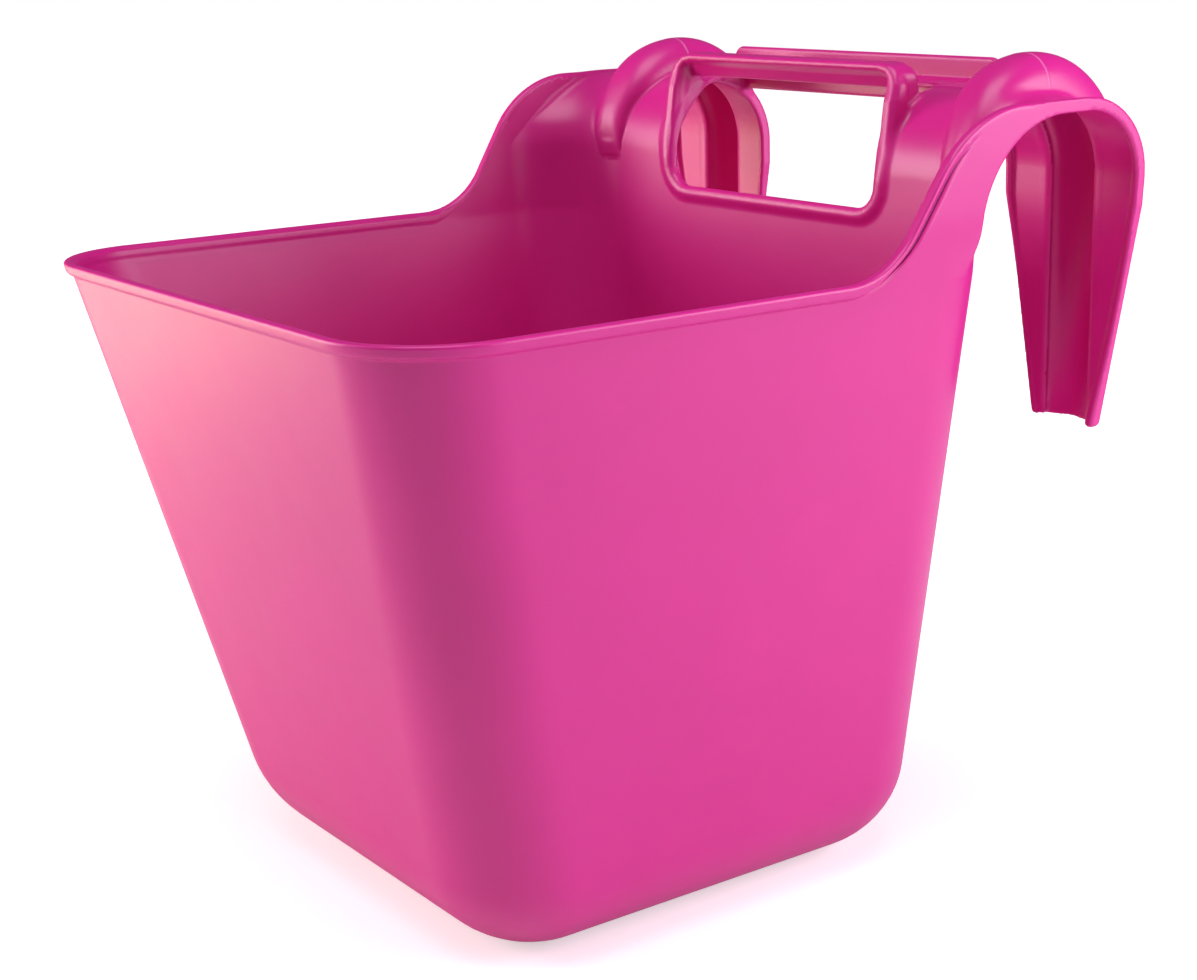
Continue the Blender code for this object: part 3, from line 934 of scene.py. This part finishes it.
def surface_of(grid: Array, origin: Sequence[float], pitch: float) -> tuple[Array, Array]:
    """The zero surface of a grid of distances, as points and quads.

    Each cell that the surface passes holds one point, at the mean of its crossings.

    Args:
        grid: distances on a regular grid.
        origin: place of the grid's first sample.
        pitch: distance between samples.

    Returns:
        Points, and quads that index them and face away from the solid.
    """
    inside = grid < 0
    corners = [(i, j, k) for i in (0, 1) for j in (0, 1) for k in (0, 1)]
    shape = tuple(n - 1 for n in grid.shape)

    def part(a: Array, c: tuple[int, int, int]) -> Array:
        """The array seen from one corner of every cell."""
        return a[c[0] : c[0] + shape[0], c[1] : c[1] + shape[1], c[2] : c[2] + shape[2]]

    count = sum(part(inside, c).astype(np.uint8) for c in corners)
    cells = np.argwhere((count > 0) & (count < 8))
    at = tuple(cells.T)
    values = {c: part(grid, c)[at].astype(np.float64) for c in corners}
    total, found = np.zeros((len(cells), 3)), np.zeros(len(cells))
    for a in corners:
        for axis in range(3):
            if a[axis]:
                continue
            b = tuple(v + (i == axis) for i, v in enumerate(a))
            va, vb = values[a], values[b]
            crossed = (va < 0) != (vb < 0)
            t = va[crossed] / (va[crossed] - vb[crossed])
            place = np.tile(np.array(a, float), (crossed.sum(), 1))
            place[:, axis] += t
            total[crossed] += place
            found += crossed
    points = np.array(origin) + pitch * (cells + total / found[:, None])
    number = np.full(shape, -1, np.int64)
    number[at] = np.arange(len(cells))
    quads = []
    for axis in range(3):
        first = [slice(1, -1)] * 3
        first[axis] = slice(0, -1)
        second = list(first)
        second[axis] = slice(1, None)
        low, high = inside[tuple(first)], inside[tuple(second)]
        edges = np.argwhere(low != high)
        outward = low[tuple(edges.T)]
        edges = edges + [int(i != axis) for i in range(3)]
        p, q = [i for i in range(3) if i != axis]
        around = []
        for dp, dq in ((-1, -1), (0, -1), (0, 0), (-1, 0)):
            moved = edges.copy()
            moved[:, p] += dp
            moved[:, q] += dq
            around.append(number[tuple(moved.T)])
        quad = np.stack(around, 1)
        turned = outward if axis != 1 else ~outward
        quad[~turned] = quad[~turned][:, ::-1]
        quads.append(quad)
    return points, np.concatenate(quads)


def project(points: Array, shape: Callable, steps: int = 3) -> tuple[Array, Array]:
    """Points drawn onto the zero surface of a field, and the normals there.

    Args:
        points: places near the surface, in millimetres.
        shape: the field, called with x, y and z.
        steps: how often each point moves.

    Returns:
        The moved points and their unit normals.
    """
    small, least_slope, most_move = 0.05, 0.2, 0.6
    points = points.copy()
    slope = np.zeros_like(points)
    for turn in range(steps + 1):
        for axis in range(3):
            shift = np.zeros(3)
            shift[axis] = small
            ahead, back = shape(*(points + shift).T), shape(*(points - shift).T)
            slope[:, axis] = (ahead - back) / (2 * small)
        size = np.maximum(np.linalg.norm(slope, axis=1), least_slope)
        if turn < steps:
            move = np.clip(shape(*points.T) / size, -most_move, most_move)
            points -= slope * (move / size)[:, None]
    return points, slope / size[:, None]


def add_node(
    tree: bpy.types.NodeTree,
    kind: str,
    settings: dict[str, object] | None = None,
    links: dict[str | int, object] | None = None,
) -> bpy.types.Node:
    """A node of a tree, with its settings and what feeds its sockets.

    Args:
        tree: the material, world or geometry tree.
        kind: the node's type.
        settings: its properties by name.
        links: by socket, a plain value or another node's output.

    Returns:
        The new node.
    """
    node = tree.nodes.new(kind)
    for name, value in (settings or {}).items():
        setattr(node, name, value)
    for socket, source in (links or {}).items():
        if isinstance(source, bpy.types.NodeSocket):
            tree.links.new(source, node.inputs[socket])
        else:
            node.inputs[socket].default_value = source
    return node


def plain_mesh(name: str, points: Array, faces: Sequence[Sequence[int]]) -> bpy.types.Object:
    """An object at the origin from points in millimetres.

    Args:
        name: the object's name.
        points: its points, in millimetres.
        faces: the points of each face.

    Returns:
        The new object.
    """
    mesh = bpy.data.meshes.new(name)
    mesh.from_pydata((np.asarray(points) * MM).tolist(), [], faces)
    mesh.update()
    obj = bpy.data.objects.new(name, mesh)
    bpy.context.scene.collection.objects.link(obj)
    return obj


def finished(obj: bpy.types.Object) -> bpy.types.Object:
    """The object with its modifiers worked into its mesh.

    Args:
        obj: the object.

    Returns:
        The same object, without modifiers.
    """
    bpy.context.view_layer.update()
    graph = bpy.context.evaluated_depsgraph_get()
    mesh = bpy.data.meshes.new_from_object(obj.evaluated_get(graph))
    obj.modifiers.clear()
    old, obj.data = obj.data, mesh
    bpy.data.meshes.remove(old)
    mesh.name = obj.name
    return obj


# Finish


def linear(code: str) -> tuple[float, float, float, float]:
    """An sRGB hex colour as linear light.

    Args:
        code: the colour, such as #D9218F.

    Returns:
        Red, green, blue and 1.
    """
    parts = [int(code[i : i + 2], 16) / 255 for i in (1, 3, 5)]
    turned = [c / 12.92 if c <= 0.04045 else ((c + 0.055) / 1.055) ** 2.4 for c in parts]
    return (*turned, 1.0)


@dataclass(frozen=True)
class MouldedPolyethylene:
    """Injection-moulded LDPE: deep even colour, a soft satin gloss and a faint waviness.

    Thick flexible walls cool unevenly, so broad highlights wander over soft sink
    marks, and handling leaves the satin a little uneven.
    """

    name: str = "satin_moulded_ldpe"
    colour: str = "#D9218F"
    deep: str = "#CE1C86"
    # Painted shade: the dark tint mixed into the lip's crease
    crease: str = "#9A1260"
    # Painted highlight: the light tint mixed along the mould's parting line
    parting_highlight: str = "#F08CC4"
    roughness: float = 0.36
    smoother: float = 0.04
    rougher: float = 0.05
    ior: float = 1.51
    wave_mm: float = 45.0
    wave_deep_mm: float = 1.2
    wave_share: float = 0.35
    grain_mm: float = 0.9
    grain_deep_mm: float = 0.12
    grain_share: float = 0.12
    seam_mm: float = 0.8
    seam_flat_mm: float = 0.1
    raised: float = -0.2
    scatter: float = 0.12
    scatter_mm: float = 4.0
    scatter_radii: tuple[float, float, float] = (1.0, 0.25, 0.45)

    def material(self) -> bpy.types.Material:
        """The finish as a node material that reads Object coordinates.

        Returns:
            The material.
        """
        made = bpy.data.materials.new(self.name)
        made.use_nodes = True
        tree = made.node_tree
        tree.nodes.clear()
        colour, gloss, normal = self.surface(tree)
        colour, normal = self.seams(tree, colour, normal)
        shader = add_node(
            tree,
            "ShaderNodeBsdfPrincipled",
            links={
                "Base Color": colour,
                "Roughness": gloss,
                "IOR": self.ior,
                "Subsurface Weight": self.scatter,
                "Subsurface Radius": self.scatter_radii,
                "Subsurface Scale": self.scatter_mm * MM,
                "Normal": normal,
            },
        )
        add_node(
            tree, "ShaderNodeOutputMaterial", links={"Surface": shader.outputs["BSDF"]}
        )
        return made

    def surface(self, tree: bpy.types.NodeTree) -> list[bpy.types.NodeSocket]:
        """The plain plastic: its clouded colour, uneven satin, sink marks and grain.

        Args:
            tree: the material's nodes.

        Returns:
            Colour, roughness and normal.
        """
        place = add_node(tree, "ShaderNodeTexCoord").outputs["Object"]
        cloud, grain = (
            add_node(
                tree,
                "ShaderNodeTexNoise",
                links={"Vector": place, "Scale": 1 / (size * MM), "Detail": 2.0},
            ).outputs["Fac"]
            for size in (self.wave_mm, self.grain_mm)
        )
        colour = add_node(
            tree,
            "ShaderNodeMix",
            {"data_type": "RGBA"},
            {"Factor": cloud, "A": linear(self.deep), "B": linear(self.colour)},
        )
        low, high = self.roughness - self.smoother, self.roughness + self.rougher
        satin = add_node(
            tree, "ShaderNodeMapRange", links={"Value": cloud, "To Min": low, "To Max": high}
        )
        sinks = {"Height": cloud, "Strength": self.wave_share}
        sinks["Distance"] = self.wave_deep_mm * MM
        soft = add_node(tree, "ShaderNodeBump", links=sinks)
        grains = {"Height": grain, "Strength": self.grain_share}
        grains |= {"Distance": self.grain_deep_mm * MM, "Normal": soft.outputs["Normal"]}
        fine = add_node(tree, "ShaderNodeBump", links=grains)
        return [colour.outputs["Result"], satin.outputs["Result"], fine.outputs["Normal"]]

    def seams(
        self,
        tree: bpy.types.NodeTree,
        colour: bpy.types.NodeSocket,
        normal: bpy.types.NodeSocket,
    ) -> list[bpy.types.NodeSocket]:
        """The lip's crease, darkened with painted shade, and the mould's parting line, lightened
        with a painted highlight; both lines also get a bump.

        Args:
            tree: the material's nodes.
            colour: the plastic's colour.
            normal: the plastic's normal.

        Returns:
            Colour and normal with the lines.
        """
        seam = add_node(tree, "ShaderNodeAttribute", {"attribute_name": "seam"})
        parts = add_node(
            tree, "ShaderNodeSeparateXYZ", links={"Vector": seam.outputs["Vector"]}
        ).outputs
        away = add_node(tree, "ShaderNodeMath", {"operation": "ABSOLUTE"}, {0: parts["X"]})
        ends = {"From Min": self.seam_flat_mm, "From Max": self.seam_mm}
        ends |= {"Value": away.outputs[0], "To Min": 1.0, "To Max": 0.0}
        smooth = {"interpolation_type": "SMOOTHSTEP"}
        line = add_node(tree, "ShaderNodeMapRange", smooth, ends).outputs["Result"]
        sunk = add_node(
            tree, "ShaderNodeMath", {"operation": "MULTIPLY"}, {0: line, 1: parts["Y"]}
        ).outputs[0]
        # Share of the painted highlight on the parting line
        raised = add_node(
            tree,
            "ShaderNodeMapRange",
            links={"Value": sunk, "From Max": self.raised, "To Max": 0.5},
        ).outputs["Result"]
        # Painted shade darkens the crease, and a painted highlight lightens the parting line
        for share, tint in ((sunk, self.crease), (raised, self.parting_highlight)):
            mixed = {"Factor": share, "A": colour, "B": linear(tint)}
            colour = add_node(
                tree, "ShaderNodeMix", {"data_type": "RGBA"}, mixed
            ).outputs["Result"]
        lined = {"Height": sunk, "Strength": 1.0, "Distance": self.seam_mm * MM}
        lined["Normal"] = normal
        groove = add_node(tree, "ShaderNodeBump", {"invert": True}, lined)
        return [colour, groove.outputs["Normal"]]


# Tub and front rim: a section lofted round a tapered, rounded outline


class Span(Enum):
    """How far round the tub a loft goes."""

    WHOLE = "whole"
    FRONT = "front"


@dataclass
class RingLoft:
    """A geometry tree that carries a section's points round the tub's outline."""

    moulding: Moulding
    span: Span
    steps: int = 20
    least_radius: float = 0.2
    sewn: float = 0.02
    core_in: float = 1.0
    core_down: float = 2.5

    def sizes(self) -> dict[str, float]:
        """The tree's named lengths, in metres.

        Returns:
            Lengths by the name of their socket.
        """
        m = self.moulding
        lengths = {
            "Base Half Width": m.base_half,
            "Top Half Width": m.top_half,
            "Base Front": m.base_front,
            "Top Front": m.top_front,
            "Back": m.back,
            "Corner Radius": m.corner,
            "Rim Height": m.rim_z,
            "Front Reach": m.cut_y,
        }
        return {label: value * MM for label, value in lengths.items()}

    def place_in_ring(self) -> list[tuple]:
        """Sums from a point's index to its corner and its angle round the outline.

        Returns:
            Rows of a result's name, an operation, and the names or numbers it takes.
        """
        whole = self.span is Span.WHOLE
        turns, extra = (4.0, 1.0) if whole else (2.0, 4.0)
        quarter = math.pi / 2
        turn, start = (quarter, -quarter) if whole else (-quarter, 0.0)
        sums = [
            ("columns", "MULTIPLY_ADD", "Corner Steps", turns, extra),
            ("middle of cell", "ADD", "index", 0.5),
            ("cells", "DIVIDE", "middle of cell", "count"),
            ("column", "FLOOR", "cells"),
            ("before", "MULTIPLY", "column", "count"),
            ("row", "SUBTRACT", "index", "before"),
            ("around", "ADD", "column", 0.0),
        ]
        if not whole:
            # Two columns at each end close the loft
            sums += [
                ("last", "SUBTRACT", "columns", 3.5),
                ("past", "SUBTRACT", "column", 2.0),
                ("most", "SUBTRACT", "last", 1.5),
                ("held", "MINIMUM", "past", "most"),
                ("around", "MAXIMUM", "held", 0.0),
            ]
        return sums + [
            ("corners", "DIVIDE", "around", "Corner Steps"),
            ("corner", "FLOOR", "corners"),
            ("passed", "MULTIPLY", "corner", "Corner Steps"),
            ("over", "SUBTRACT", "around", "passed"),
            ("gaps", "SUBTRACT", "Corner Steps", 1.0),
            ("within", "DIVIDE", "over", "gaps"),
            ("quarters", "ADD", "corner", "within"),
            ("angle", "MULTIPLY_ADD", "quarters", turn, start),
            ("middle", "MULTIPLY_ADD", "corner", turn, -quarter / 2),
        ]

    def place_in_space(self) -> list[tuple]:
        """Sums from a point's corner, angle, inset and height to its place.

        Returns:
            Rows like those of place_in_ring, which leave x, y and height.
        """
        sums = [
            ("share", "DIVIDE", "height", "Rim Height"),
            ("spread", "SUBTRACT", "Top Half Width", "Base Half Width"),
            ("half", "MULTIPLY_ADD", "spread", "share", "Base Half Width"),
            ("lean", "SUBTRACT", "Top Front", "Base Front"),
            ("front", "MULTIPLY_ADD", "lean", "share", "Base Front"),
            ("left", "SUBTRACT", "Corner Radius", "inset"),
            ("radius", "MAXIMUM", "left", self.least_radius * MM),
            ("taken", "ADD", "inset", "radius"),
            ("ends", "ADD", "front", "Back"),
            ("centre", "MULTIPLY", "ends", 0.5),
            ("depth", "SUBTRACT", "Back", "front"),
            ("deep", "MULTIPLY", "depth", 0.5),
        ]
        for axis, wave, reach in (("x", "COSINE", "half"), ("y", "SINE", "deep")):
            sums += [
                (axis + " of middle", wave, "middle"),
                (axis + " sign", "SIGN", axis + " of middle"),
                (axis + " of angle", wave, "angle"),
                (axis + " round", "MULTIPLY", "radius", axis + " of angle"),
                (axis + " straight", "SUBTRACT", reach, "taken"),
                (axis, "MULTIPLY_ADD", axis + " sign", axis + " straight", axis + " round"),
            ]
        if self.span is Span.WHOLE:
            return sums + [
                ("x", "MULTIPLY", "x", "keep"),
                ("y", "MULTIPLY_ADD", "y", "keep", "centre"),
            ]
        return sums + [
            ("y", "ADD", "y", "centre"),
            ("at start", "LESS_THAN", "column", 1.5),
            ("at stop", "GREATER_THAN", "column", "last"),
            ("at end", "MAXIMUM", "at start", "at stop"),
            ("to end", "SUBTRACT", "Front Reach", "y"),
            ("y", "MULTIPLY_ADD", "to end", "at end", "y"),
            ("first", "LESS_THAN", "column", 0.5),
            ("past last", "ADD", "last", 1.0),
            ("final", "GREATER_THAN", "column", "past last"),
            ("closed", "MAXIMUM", "first", "final"),
            ("core half", "SUBTRACT", "Top Half Width", self.core_in * MM),
            ("core x", "MULTIPLY", "x sign", "core half"),
            ("to core x", "SUBTRACT", "core x", "x"),
            ("x", "MULTIPLY_ADD", "to core x", "closed", "x"),
            ("core z", "SUBTRACT", "Rim Height", self.core_down * MM),
            ("to core z", "SUBTRACT", "core z", "height"),
            ("height", "MULTIPLY_ADD", "to core z", "closed", "height"),
        ]

    def tree(self, name: str, material: bpy.types.Material) -> bpy.types.NodeTree:
        """Builds the tree. The section comes in as a line of points: x is the inset
        from the outline, z the height, and y how far a point keeps out from the centre.

        Args:
            name: the tree's name.
            material: the finish that the loft gets.

        Returns:
            The tree, with its sizes as named inputs.
        """
        tree = bpy.data.node_groups.new(name, "GeometryNodeTree")
        face = tree.interface
        face.new_socket("Section", in_out="INPUT", socket_type="NodeSocketGeometry")
        face.new_socket("Loft", in_out="OUTPUT", socket_type="NodeSocketGeometry")
        for label, value in self.sizes().items():
            socket = face.new_socket(label, in_out="INPUT", socket_type="NodeSocketFloat")
            socket.default_value = value
        socket = face.new_socket("Corner Steps", in_out="INPUT", socket_type="NodeSocketInt")
        socket.default_value = self.steps
        given = add_node(tree, "NodeGroupInput").outputs
        count = add_node(
            tree, "GeometryNodeAttributeDomainSize", links={"Geometry": given["Section"]}
        )
        index = add_node(tree, "GeometryNodeInputIndex")
        where = add_node(tree, "GeometryNodeInputPosition")
        section = add_node(
            tree,
            "GeometryNodeSampleIndex",
            {"data_type": "FLOAT_VECTOR"},
            {"Geometry": given["Section"], "Value": where.outputs[0]},
        )
        parts = add_node(
            tree, "ShaderNodeSeparateXYZ", links={"Vector": section.outputs[0]}
        ).outputs
        known = {label: given[label] for label in (*self.sizes(), "Corner Steps")}
        known |= {"count": count.outputs["Point Count"], "index": index.outputs[0]}
        known |= {"inset": parts["X"], "keep": parts["Y"], "height": parts["Z"]}
        for result, operation, *values in self.place_in_ring() + self.place_in_space():
            sources = {i: known.get(value, value) for i, value in enumerate(values)}
            node = add_node(tree, "ShaderNodeMath", {"operation": operation}, sources)
            known[result] = node.outputs[0]
        tree.links.new(known["row"], section.inputs["Index"])
        grid = add_node(
            tree,
            "GeometryNodeMeshGrid",
            links={"Vertices X": known["columns"], "Vertices Y": known["count"]},
        )
        place = add_node(
            tree,
            "ShaderNodeCombineXYZ",
            links={"X": known["x"], "Y": known["y"], "Z": known["height"]},
        )
        moved = add_node(
            tree,
            "GeometryNodeSetPosition",
            links={"Geometry": grid.outputs["Mesh"], "Position": place.outputs[0]},
        )
        sewn = add_node(
            tree,
            "GeometryNodeMergeByDistance",
            links={"Geometry": moved.outputs[0], "Distance": self.sewn * MM},
        )
        real = add_node(
            tree, "GeometryNodeRealizeInstances", links={"Geometry": sewn.outputs[0]}
        )
        dressed = add_node(
            tree,
            "GeometryNodeSetMaterial",
            links={"Geometry": real.outputs[0], "Material": material},
        )
        add_node(tree, "NodeGroupOutput", links={"Loft": dressed.outputs[0]})
        return tree

    def build(
        self, name: str, section: Sequence[tuple[float, float, float]],
        material: bpy.types.Material,
    ) -> bpy.types.Object:
        """The lofted piece, as a plain mesh that faces outwards.

        Args:
            name: the piece's name.
            section: its points, in millimetres.
            material: the finish.

        Returns:
            The piece.
        """
        edges = [(i, i + 1) for i in range(len(section) - 1)]
        mesh = bpy.data.meshes.new(name)
        mesh.from_pydata([[c * MM for c in p] for p in self.packed(section)], edges, [])
        obj = bpy.data.objects.new(name, mesh)
        bpy.context.scene.collection.objects.link(obj)
        loft = obj.modifiers.new("loft", "NODES")
        loft.node_group = self.tree(name + "_loft", material)
        made = finished(obj)
        outwards(made)
        return made

    @staticmethod
    def packed(section: Sequence[tuple[float, float, float]]) -> list[tuple]:
        """The section with its keep value in metres, so that 1 stays 1 in the tree."""
        return [(inset, keep / MM, z) for inset, keep, z in section]


def outwards(obj: bpy.types.Object, sharp: float = 40.0) -> None:
    """Turns a closed mesh's faces out, smooth but for its sharp edges.

    Args:
        obj: the object.
        sharp: angle above which an edge is sharp.
    """
    work = bmesh.new()
    work.from_mesh(obj.data)
    bmesh.ops.recalc_face_normals(work, faces=work.faces)
    work.to_mesh(obj.data)
    work.free()
    obj.data.shade_smooth()
    obj.data.set_sharp_from_angle(angle=math.radians(sharp))


@dataclass
class Tub:
    """The floor, the walls up to the hooks, and the lip round the front."""

    moulding: Moulding
    replaced: Sequence[str] = ("tub_shell", "rim_lip")
    floor_share: float = 0.6
    round_steps: int = 15
    wall_steps: int = 9
    lip_step: float = 0.4

    def section(self) -> list[tuple[float, float, float]]:
        """From the middle of the underside, round the wall's top, to the inner floor.

        Returns:
            Points of inset, share kept out from the centre, and height.
        """
        m = self.moulding
        outer = [(m.fillet, 0.0, 0.0), (m.fillet, self.floor_share, 0.0)]
        turns = [math.radians(a) for a in np.linspace(0, 90, self.round_steps)]
        outer += [
            (m.fillet * (1 - math.sin(a)), 1.0, m.fillet * (1 - math.cos(a))) for a in turns
        ]
        rising = np.linspace(m.fillet, m.cut_z, self.wall_steps)
        outer += [(0.0, 1.0, z) for z in rising[1:]]
        small = m.fillet - m.wall
        falling = np.linspace(m.cut_z, m.fillet, self.wall_steps)
        inner = [(m.wall, 1.0, z) for z in falling]
        inner += [
            (m.wall + small * (1 - math.sin(a)), 1.0, m.wall + small * (1 - math.cos(a)))
            for a in reversed(turns[:-1])
        ]
        inner += [(m.fillet, self.floor_share, m.wall), (m.fillet, 0.0, m.wall)]
        return outer + inner

    def lip_section(self) -> list[tuple[float, float, float]]:
        """Round the wall and lip above the tub, drawn onto the moulding's own section.

        Returns:
            Points like those of section, in a closed loop.
        """
        m = self.moulding
        out, low, high = m.lip_proud, m.lip_low, m.rim_z
        guide = [(0.0, m.cut_z), (0.0, low), (out, low), (out, high), (-m.wall, high)]
        guide += [(-m.wall, m.cut_z)]
        points = []
        for (au, av), (bu, bv) in zip(guide, guide[1:]):
            count = max(2, round(math.hypot(bu - au, bv - av) / self.lip_step))
            points += [(mix(au, bu, i / count), mix(av, bv, i / count)) for i in range(count)]
        points.append(guide[-1])
        flat = np.array([(u, 0.0, v) for u, v in points])
        drawn, _ = project(flat, lambda u, _, v: m.lip(u, v), 4)
        drawn[:, 2] = np.maximum(drawn[:, 2], m.cut_z)
        drawn[0], drawn[-1] = flat[0], flat[-1]
        loop = [(-u, 1.0, v) for u, _, v in drawn]
        return [*loop, loop[0]]

    def build(self, material: bpy.types.Material) -> list[bpy.types.Object]:
        """The tub and the front rim.

        Args:
            material: the finish.

        Returns:
            Both pieces.
        """
        m = self.moulding
        tub = RingLoft(m, Span.WHOLE).build("tub_body", self.section(), material)
        rim = RingLoft(m, Span.FRONT).build("front_rim", self.lip_section(), material)
        return [tub, rim]


@dataclass
class Upper:
    """The hooks and the handle, which share one surface."""

    moulding: Moulding
    regions: Sequence[Region] = (
        Region(
            "left_hook", -200.0, -78.0,
            ("left_shoulder", "left_hook_crown", "left_hook_arm"),
        ),
        Region(
            "carry_handle", -78.0, 78.0,
            (
                "back_panel", "top_bridge", "rear_strip", "handle_bar",
                "left_handle_post", "right_handle_post",
            ),
        ),
        Region(
            "right_hook", 78.0, 200.0,
            ("right_shoulder", "right_hook_crown", "right_hook_arm"),
        ),
    )

    rear_m: float = 0.15

    def build(self, material: bpy.types.Material) -> list[bpy.types.Object]:
        """The pieces, left to right.

        Args:
            material: the finish.

        Returns:
            Left hook, carry handle and right hook.
        """
        upper = UpperMoulding(self.moulding)
        grid, origin = upper.samples()
        points, quads = surface_of(grid, origin, upper.pitch)
        points, _ = project(points, upper.distance, 2)
        obj = plain_mesh("upper_moulding", points, quads.tolist())
        whole = bmesh.new()
        whole.from_mesh(obj.data)
        bpy.data.objects.remove(obj)
        m = self.moulding
        cut_off(whole, Vector((0, 0, m.cut_z * MM)), Vector((0, 0, 1)), self.rear_m)
        cut_off(whole, Vector((0, m.cut_y * MM, 0)), Vector((0, 1, 0)), self.rear_m)
        pieces = [r.build(whole, upper, material) for r in self.regions]
        whole.free()
        return pieces


# Studio


@dataclass
class Studio:
    """Floor, lamps and the camera at the photograph's angle."""

    place: tuple[float, float, float] = (0.7148, -0.4894, 0.3859)
    azimuth: float = 54.893
    tilt: float = 14.809
    roll: float = -1.454
    focal_px: float = 2110.8
    width_px: int = 1197
    sensor_mm: float = 36.0
    faint: float = 0.08
    aim: tuple[float, float, float] = (0.0, 0.0, 0.15)
    floor_half_mm: float = 4000.0

    def camera(self) -> bpy.types.Object:
        """The camera, and the scene set to look through it.

        Returns:
            The camera.
        """
        data = bpy.data.cameras.new("camera")
        data.sensor_width = self.sensor_mm
        data.lens = self.focal_px / self.width_px * self.sensor_mm
        data.clip_start, data.clip_end = 0.01, 100.0
        obj = bpy.data.objects.new("camera", data)
        bpy.context.scene.collection.objects.link(obj)
        a, e, r = (math.radians(v) for v in (self.azimuth, self.tilt, self.roll))
        back = Vector((math.sin(a) * math.cos(e), -math.cos(a) * math.cos(e), math.sin(e)))
        right = Vector((math.cos(a), math.sin(a), 0.0))
        up = back.cross(right)
        across = right * math.cos(r) + up * math.sin(r)
        along = up * math.cos(r) - right * math.sin(r)
        turn = Matrix((across, along, back)).transposed()
        obj.matrix_world = Matrix.Translation(self.place) @ turn.to_4x4()
        bpy.context.scene.camera = obj
        return obj

    def surroundings(self) -> None:
        """A world that lights faintly, and that the camera sees as plain white."""
        world = bpy.data.worlds.new("studio")
        world.use_nodes = True
        tree = world.node_tree
        tree.nodes.clear()
        path = add_node(tree, "ShaderNodeLightPath").outputs
        seen = add_node(
            tree,
            "ShaderNodeMath",
            {"operation": "MAXIMUM"},
            {0: path["Is Camera Ray"], 1: path["Is Transmission Ray"]},
        )
        strength = add_node(
            tree, "ShaderNodeMapRange", links={"Value": seen.outputs[0], "To Min": self.faint}
        )
        light = add_node(
            tree,
            "ShaderNodeBackground",
            links={"Color": (1.0, 1.0, 1.0, 1.0), "Strength": strength.outputs[0]},
        )
        add_node(tree, "ShaderNodeOutputWorld", links={"Surface": light.outputs[0]})
        bpy.context.scene.world = world

    def floor(self) -> bpy.types.Object:
        """A plain pale floor that shows white to the camera, under a soft shadow.

        Returns:
            The floor.
        """
        far = self.floor_half_mm
        points = [(-far, -far, 0), (far, -far, 0), (far, far, 0), (-far, far, 0)]
        obj = plain_mesh("floor", points, [(0, 1, 2, 3)])
        made = bpy.data.materials.new("pale_studio_floor")
        made.use_nodes = True
        tree = made.node_tree
        shader = tree.nodes["Principled BSDF"]
        shader.inputs["Base Color"].default_value = linear("#F4F2F3")
        shader.inputs["Roughness"].default_value = 0.7
        path = add_node(tree, "ShaderNodeLightPath").outputs
        place = add_node(tree, "ShaderNodeTexCoord").outputs["Object"]
        away = add_node(
            tree, "ShaderNodeVectorMath", {"operation": "LENGTH"}, {0: place}
        ).outputs["Value"]
        rising = add_node(
            tree,
            "ShaderNodeMapRange",
            {"interpolation_type": "SMOOTHSTEP"},
            {"Value": away, "From Min": 0.2, "From Max": 1.1, "To Min": 0.5},
        )
        white = add_node(
            tree,
            "ShaderNodeEmission",
            links={"Color": (1.0, 1.0, 1.0, 1.0), "Strength": rising.outputs["Result"]},
        )
        both = add_node(
            tree, "ShaderNodeAddShader", links={0: shader.outputs[0], 1: white.outputs[0]}
        )
        seen = add_node(
            tree,
            "ShaderNodeMixShader",
            links={0: path["Is Camera Ray"], 1: shader.outputs[0], 2: both.outputs[0]},
        )
        tree.links.new(seen.outputs[0], tree.nodes["Material Output"].inputs["Surface"])
        obj.data.materials.append(made)
        return obj

    def lamp(
        self, name: str, place: Sequence[float], size: float, watts: float, tint: str
    ) -> None:
        """A square soft lamp aimed at the bucket.

        Args:
            name: the lamp's name.
            place: its middle, in metres.
            size: its side, in metres.
            watts: its power.
            tint: its colour.
        """
        data = bpy.data.lights.new(name, "AREA")
        data.size, data.energy = size, watts
        data.color = linear(tint)[:3]
        obj = bpy.data.objects.new(name, data)
        bpy.context.scene.collection.objects.link(obj)
        aim = Vector(self.aim) - Vector(place)
        obj.matrix_world = (
            Matrix.Translation(place) @ aim.to_track_quat("-Z", "Y").to_matrix().to_4x4()
        )

    def build(self) -> None:
        """All of the studio."""
        self.camera()
        self.surroundings()
        self.floor()
        self.lamp("key_lamp", (-0.9, -1.9, 1.5), 1.2, 8.0, "#FFF9F6")
        self.lamp("left_lamp", (-1.35, -1.4, 0.6), 0.9, 21.0, "#FFF8FF")
        self.lamp("low_lamp", (-0.62, -0.4, 0.13), 0.4, 1.9, "#FFDFA8")
        self.lamp("side_lamp", (0.75, 0.55, 0.45), 0.6, 7.6, "#F6F4FF")
        self.lamp("top_lamp", (0.4, -0.4, 2.1), 1.4, 26.0, "#FFFFFF")
        bpy.context.scene.view_settings.view_transform = "Standard"


def dress(piece: bpy.types.Object, replaced: Sequence[str]) -> None:
    """Puts a finished piece in the place of its solids.

    Args:
        piece: the visual piece.
        replaced: the nodes that it stands for.
    """
    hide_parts(*replaced)
    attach(piece, "root")
    log.info("%s: %d faces", piece.name, len(piece.data.polygons))


def main() -> None:
    """Builds the bucket's pieces in order, then the studio."""
    logging.basicConfig(level=logging.INFO, format="%(name)s: %(message)s")
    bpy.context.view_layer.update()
    Studio().build()
    log.info("studio ready")
    moulding = Moulding()
    plastic = MouldedPolyethylene().material()
    tub = Tub(moulding)
    for piece, node in zip(tub.build(plastic), tub.replaced):
        dress(piece, [node])
    upper = Upper(moulding)
    for piece, region in zip(upper.build(plastic), upper.regions):
        dress(piece, region.replaced)


if __name__ == "__main__":
    main()
